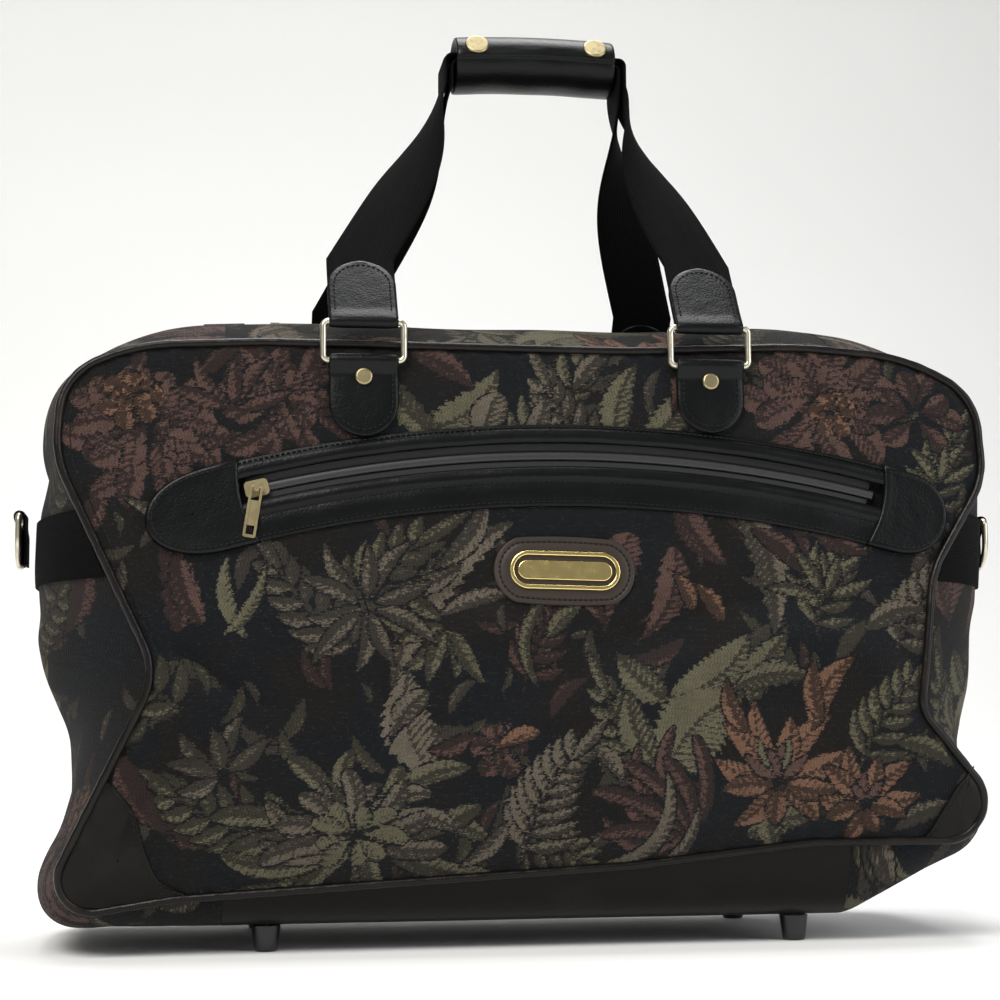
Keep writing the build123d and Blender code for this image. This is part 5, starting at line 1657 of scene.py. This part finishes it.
class BAG_OT_main_zip(bpy.types.Operator):
    """The main zip's tape and coil, and the vinyl tab over each of its ends"""

    bl_idname = "bag.main_zip"
    bl_label = "Main zip"

    def execute(self, context):
        x = np.linspace(-ZIP_REACH, ZIP_REACH, 480)
        path = np.stack(np.broadcast_arrays(x, 0.0, MAIN_ZIP_Z), axis=1)
        up, out = np.array([0, 1.0, 0]), np.array([0, 0, 1.0])
        for label, side in FACES.items():
            low, high = sorted((-3.0 * side, -20.0 * side))
            flat = [(low, -0.4), (low, 0.3), (high, 0.3), (high, -0.4)]
            tape = make_sweep(f"main_tape_{label}", path[::6], up, out, flat, finish("zip_tape"))
            settle(tape, "bag", "zip_tape", "main_zip_tape")
        ridge = 0.86 + 0.14 * np.cos(np.arange(480) * np.pi)
        rows = round_profile(2.9, 10, 0.38)[None] * ridge[:, None, None] + np.array([0, 0.7])
        coil = make_sweep("main_coil", path, up, out, rows, finish("coil"))
        settle(coil, "bag", "zip_coil", "main_zip_coil")

        def place(x, y, out):
            """On the top, dipping in the middle so that the pull clears it."""
            dip = 2.8 * smooth_step((10 - np.abs(y)) / 5)
            return np.stack([x, y, crown_z(x, y) + 0.1 + out - dip], axis=-1)

        turn = np.linspace(0, 2 * np.pi, 60, endpoint=False)
        for end, side in SIDES.items():
            across, along = np.clip(1.6 * np.cos(turn), -1, 1), np.clip(1.6 * np.sin(turn), -1, 1)
            outline = np.stack([side * ZIP_HALF + 12 * across, 15 * along], axis=1)
            piece = make_patch(f"zip_end_{end}", outline, place, 1.2, finish("black_vinyl"))
            settle(piece, "bag", "black_vinyl", f"main_zip_end_tab_{end}")
        return {"FINISHED"}


class BAG_OT_inside(bpy.types.Operator):
    """The lining: a plain bag hung inside the cloth"""

    bl_idname = "bag.inside"
    bl_label = "Lining"

    def execute(self, context):
        turn = np.linspace(0, 2 * np.pi, 160, endpoint=False)
        z = np.concatenate([[322, 322.8], np.linspace(318, 46, 40), [30, 24, 22, 21.6, 21.5]])[:, None]
        half = np.interp(z, [21.5, 46, 90, 150, 243, 300, 322], [170, 196, 190, 178, 222, 222, 205])
        shrink = np.concatenate([np.ones(42), [0.97, 0.92, 0.8, 0.4, 0.01]])[:, None]
        depth = (-face_y(np.maximum(z, 40)) - 21)
        cos, sin = np.cos(turn)[None], np.sin(turn)[None]
        x = half * shrink * np.sign(cos) * np.abs(cos) ** 0.35
        y = depth * shrink * np.sign(sin) * np.abs(sin) ** 0.35
        x[0] *= 0.995
        y[0] *= 0.99
        grid = np.stack([x, y, z + 0 * x], axis=-1)
        piece = make_grid("lining_bag", grid, finish("lining"), round_columns=True)
        settle(piece, "bag", "lining_cloth", "lining")
        return {"FINISHED"}


class BAG_OT_hardware(bpy.types.Operator):
    """Finishes for the frame's own metal and plastic parts"""

    bl_idname = "bag.hardware"
    bl_label = "Hardware finishes"

    def execute(self, context):
        finishes = {
            "brass": [f"{zip}_zip_{part}" for zip in ("pocket", "main") for part in ("slider", "pull")],
            "ring": [f"handle_ring_{face}_{end}" for face in FACES for end in SIDES],
            "gilt": ["nameplate_frame", "nameplate_plate"],
            "foot": ["feet"],
            "steel": ["foot_washers"],
            "board": ["base_board"],
        }
        finishes["brass"] += ["snap_caps", "tab_rivets"]
        finishes["ring"] += ["d_ring_left", "d_ring_right"]
        for name, nodes in finishes.items():
            for node in nodes:
                part = bpy.data.objects[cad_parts[node].name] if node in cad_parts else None
                if part is None:
                    raise RuntimeError(f"the frame has no part called {node}")
                part.data.materials.clear()
                part.data.materials.append(finish(name))
        return {"FINISHED"}


class BAG_OT_stage(bpy.types.Operator):
    """A pale floor that curves up behind, soft lights, and the camera"""

    bl_idname = "bag.stage"
    bl_label = "Stage"

    def execute(self, context):
        scene = context.scene
        look = scene.bag_stage
        turn = np.linspace(0, np.pi / 2, 24)
        y = np.concatenate([[-6.0], 1.2 + 1.5 * np.sin(turn), [2.7]])
        z = np.concatenate([[0.0], 1.5 - 1.5 * np.cos(turn), [7.0]])
        x = np.linspace(-6, 6, 4)[:, None]
        grid = np.stack([x + 0 * y, y + 0 * x, z + 0 * x], axis=-1) / MM
        pale = Recipe("backdrop", roughness=0.9)
        cloud = pale.noise(1.4, detail=1)
        pale.surface(pale.mix(cloud, (0.86, 0.86, 0.85), (0.90, 0.90, 0.89)))
        make_grid("backdrop", grid, pale.material, turned=False)
        for name, place, target, size, power, tint in (
            ("key", (-1.1, -1.9, 2.2), (0, 0, 0.25), 1.6, look.key_power, (1.0, 0.98, 0.95)),
            ("fill", (1.9, -1.5, 1.0), (0, 0, 0.2), 1.5, look.key_power * 0.35, (0.95, 0.97, 1.0)),
            ("top", (0.1, 0.5, 2.4), (0, 0, 0.3), 1.4, look.key_power * 0.6, (1.0, 1.0, 1.0)),
        ):
            light = bpy.data.lights.new(name, "AREA")
            light.size, light.energy, light.color = size, power, tint
            lamp = bpy.data.objects.new(name, light)
            aim = Vector(target) - Vector(place)
            turned = aim.to_track_quat("-Z", "Y").to_matrix().to_4x4()
            lamp.matrix_world = Matrix.Translation(place) @ turned
            context.collection.objects.link(lamp)
        world = bpy.data.worlds.new("room")
        world.use_nodes = True
        background = world.node_tree.nodes["Background"]
        background.inputs[0].default_value = (1, 1, 1, 1)
        background.inputs[1].default_value = look.room_light
        scene.world = world
        scene.view_settings.view_transform = "Standard"
        camera = bpy.data.objects.new("camera", bpy.data.cameras.new("camera"))
        camera.data.lens = look.lens
        camera.data.sensor_width = 36
        pan, tilt, roll = np.radians((-8.0, 96.1, -0.45))
        turned = Matrix.Rotation(pan, 4, "Z") @ Matrix.Rotation(tilt, 4, "X") @ Matrix.Rotation(roll, 4, "Z")
        camera.matrix_world = Matrix.Translation((-0.184, -1.256, 0.120)) @ turned
        context.collection.objects.link(camera)
        scene.camera = camera
        return {"FINISHED"}


STEPS = (
    BAG_OT_stage, BAG_OT_front, BAG_OT_ends, BAG_OT_base, BAG_OT_piping, BAG_OT_corners, BAG_OT_pocket,
    BAG_OT_badge, BAG_OT_tabs, BAG_OT_handles, BAG_OT_bands, BAG_OT_main_zip, BAG_OT_inside, BAG_OT_hardware,
)
GROUPS = {"bag_cloth": BagCloth, "bag_trim": BagTrim, "bag_metal": BagMetal, "bag_stage": BagStage}


class BAG_PT_panel(bpy.types.Panel):
    """Lists the bag's settings and its pieces"""

    bl_label = "Tapestry bag"
    bl_idname = "BAG_PT_panel"
    bl_space_type = "VIEW_3D"
    bl_region_type = "UI"
    bl_category = "Bag"

    def draw(self, context):
        for name, group in GROUPS.items():
            for setting in group.__annotations__:
                self.layout.prop(getattr(context.scene, name), setting)
        for step in STEPS:
            self.layout.operator(step.bl_idname)


def register():
    for name, group in GROUPS.items():
        bpy.utils.register_class(group)
        setattr(bpy.types.Scene, name, PointerProperty(type=group))
    for step in (*STEPS, BAG_PT_panel):
        bpy.utils.register_class(step)


def unregister():
    for step in reversed((*STEPS, BAG_PT_panel)):
        bpy.utils.unregister_class(step)
    for name, group in GROUPS.items():
        delattr(bpy.types.Scene, name)
        bpy.utils.unregister_class(group)


def main():
    register()
    for step in STEPS:
        group, name = step.bl_idname.split(".")
        getattr(getattr(bpy.ops, group), name)()


if __name__ == "__main__":
    main()
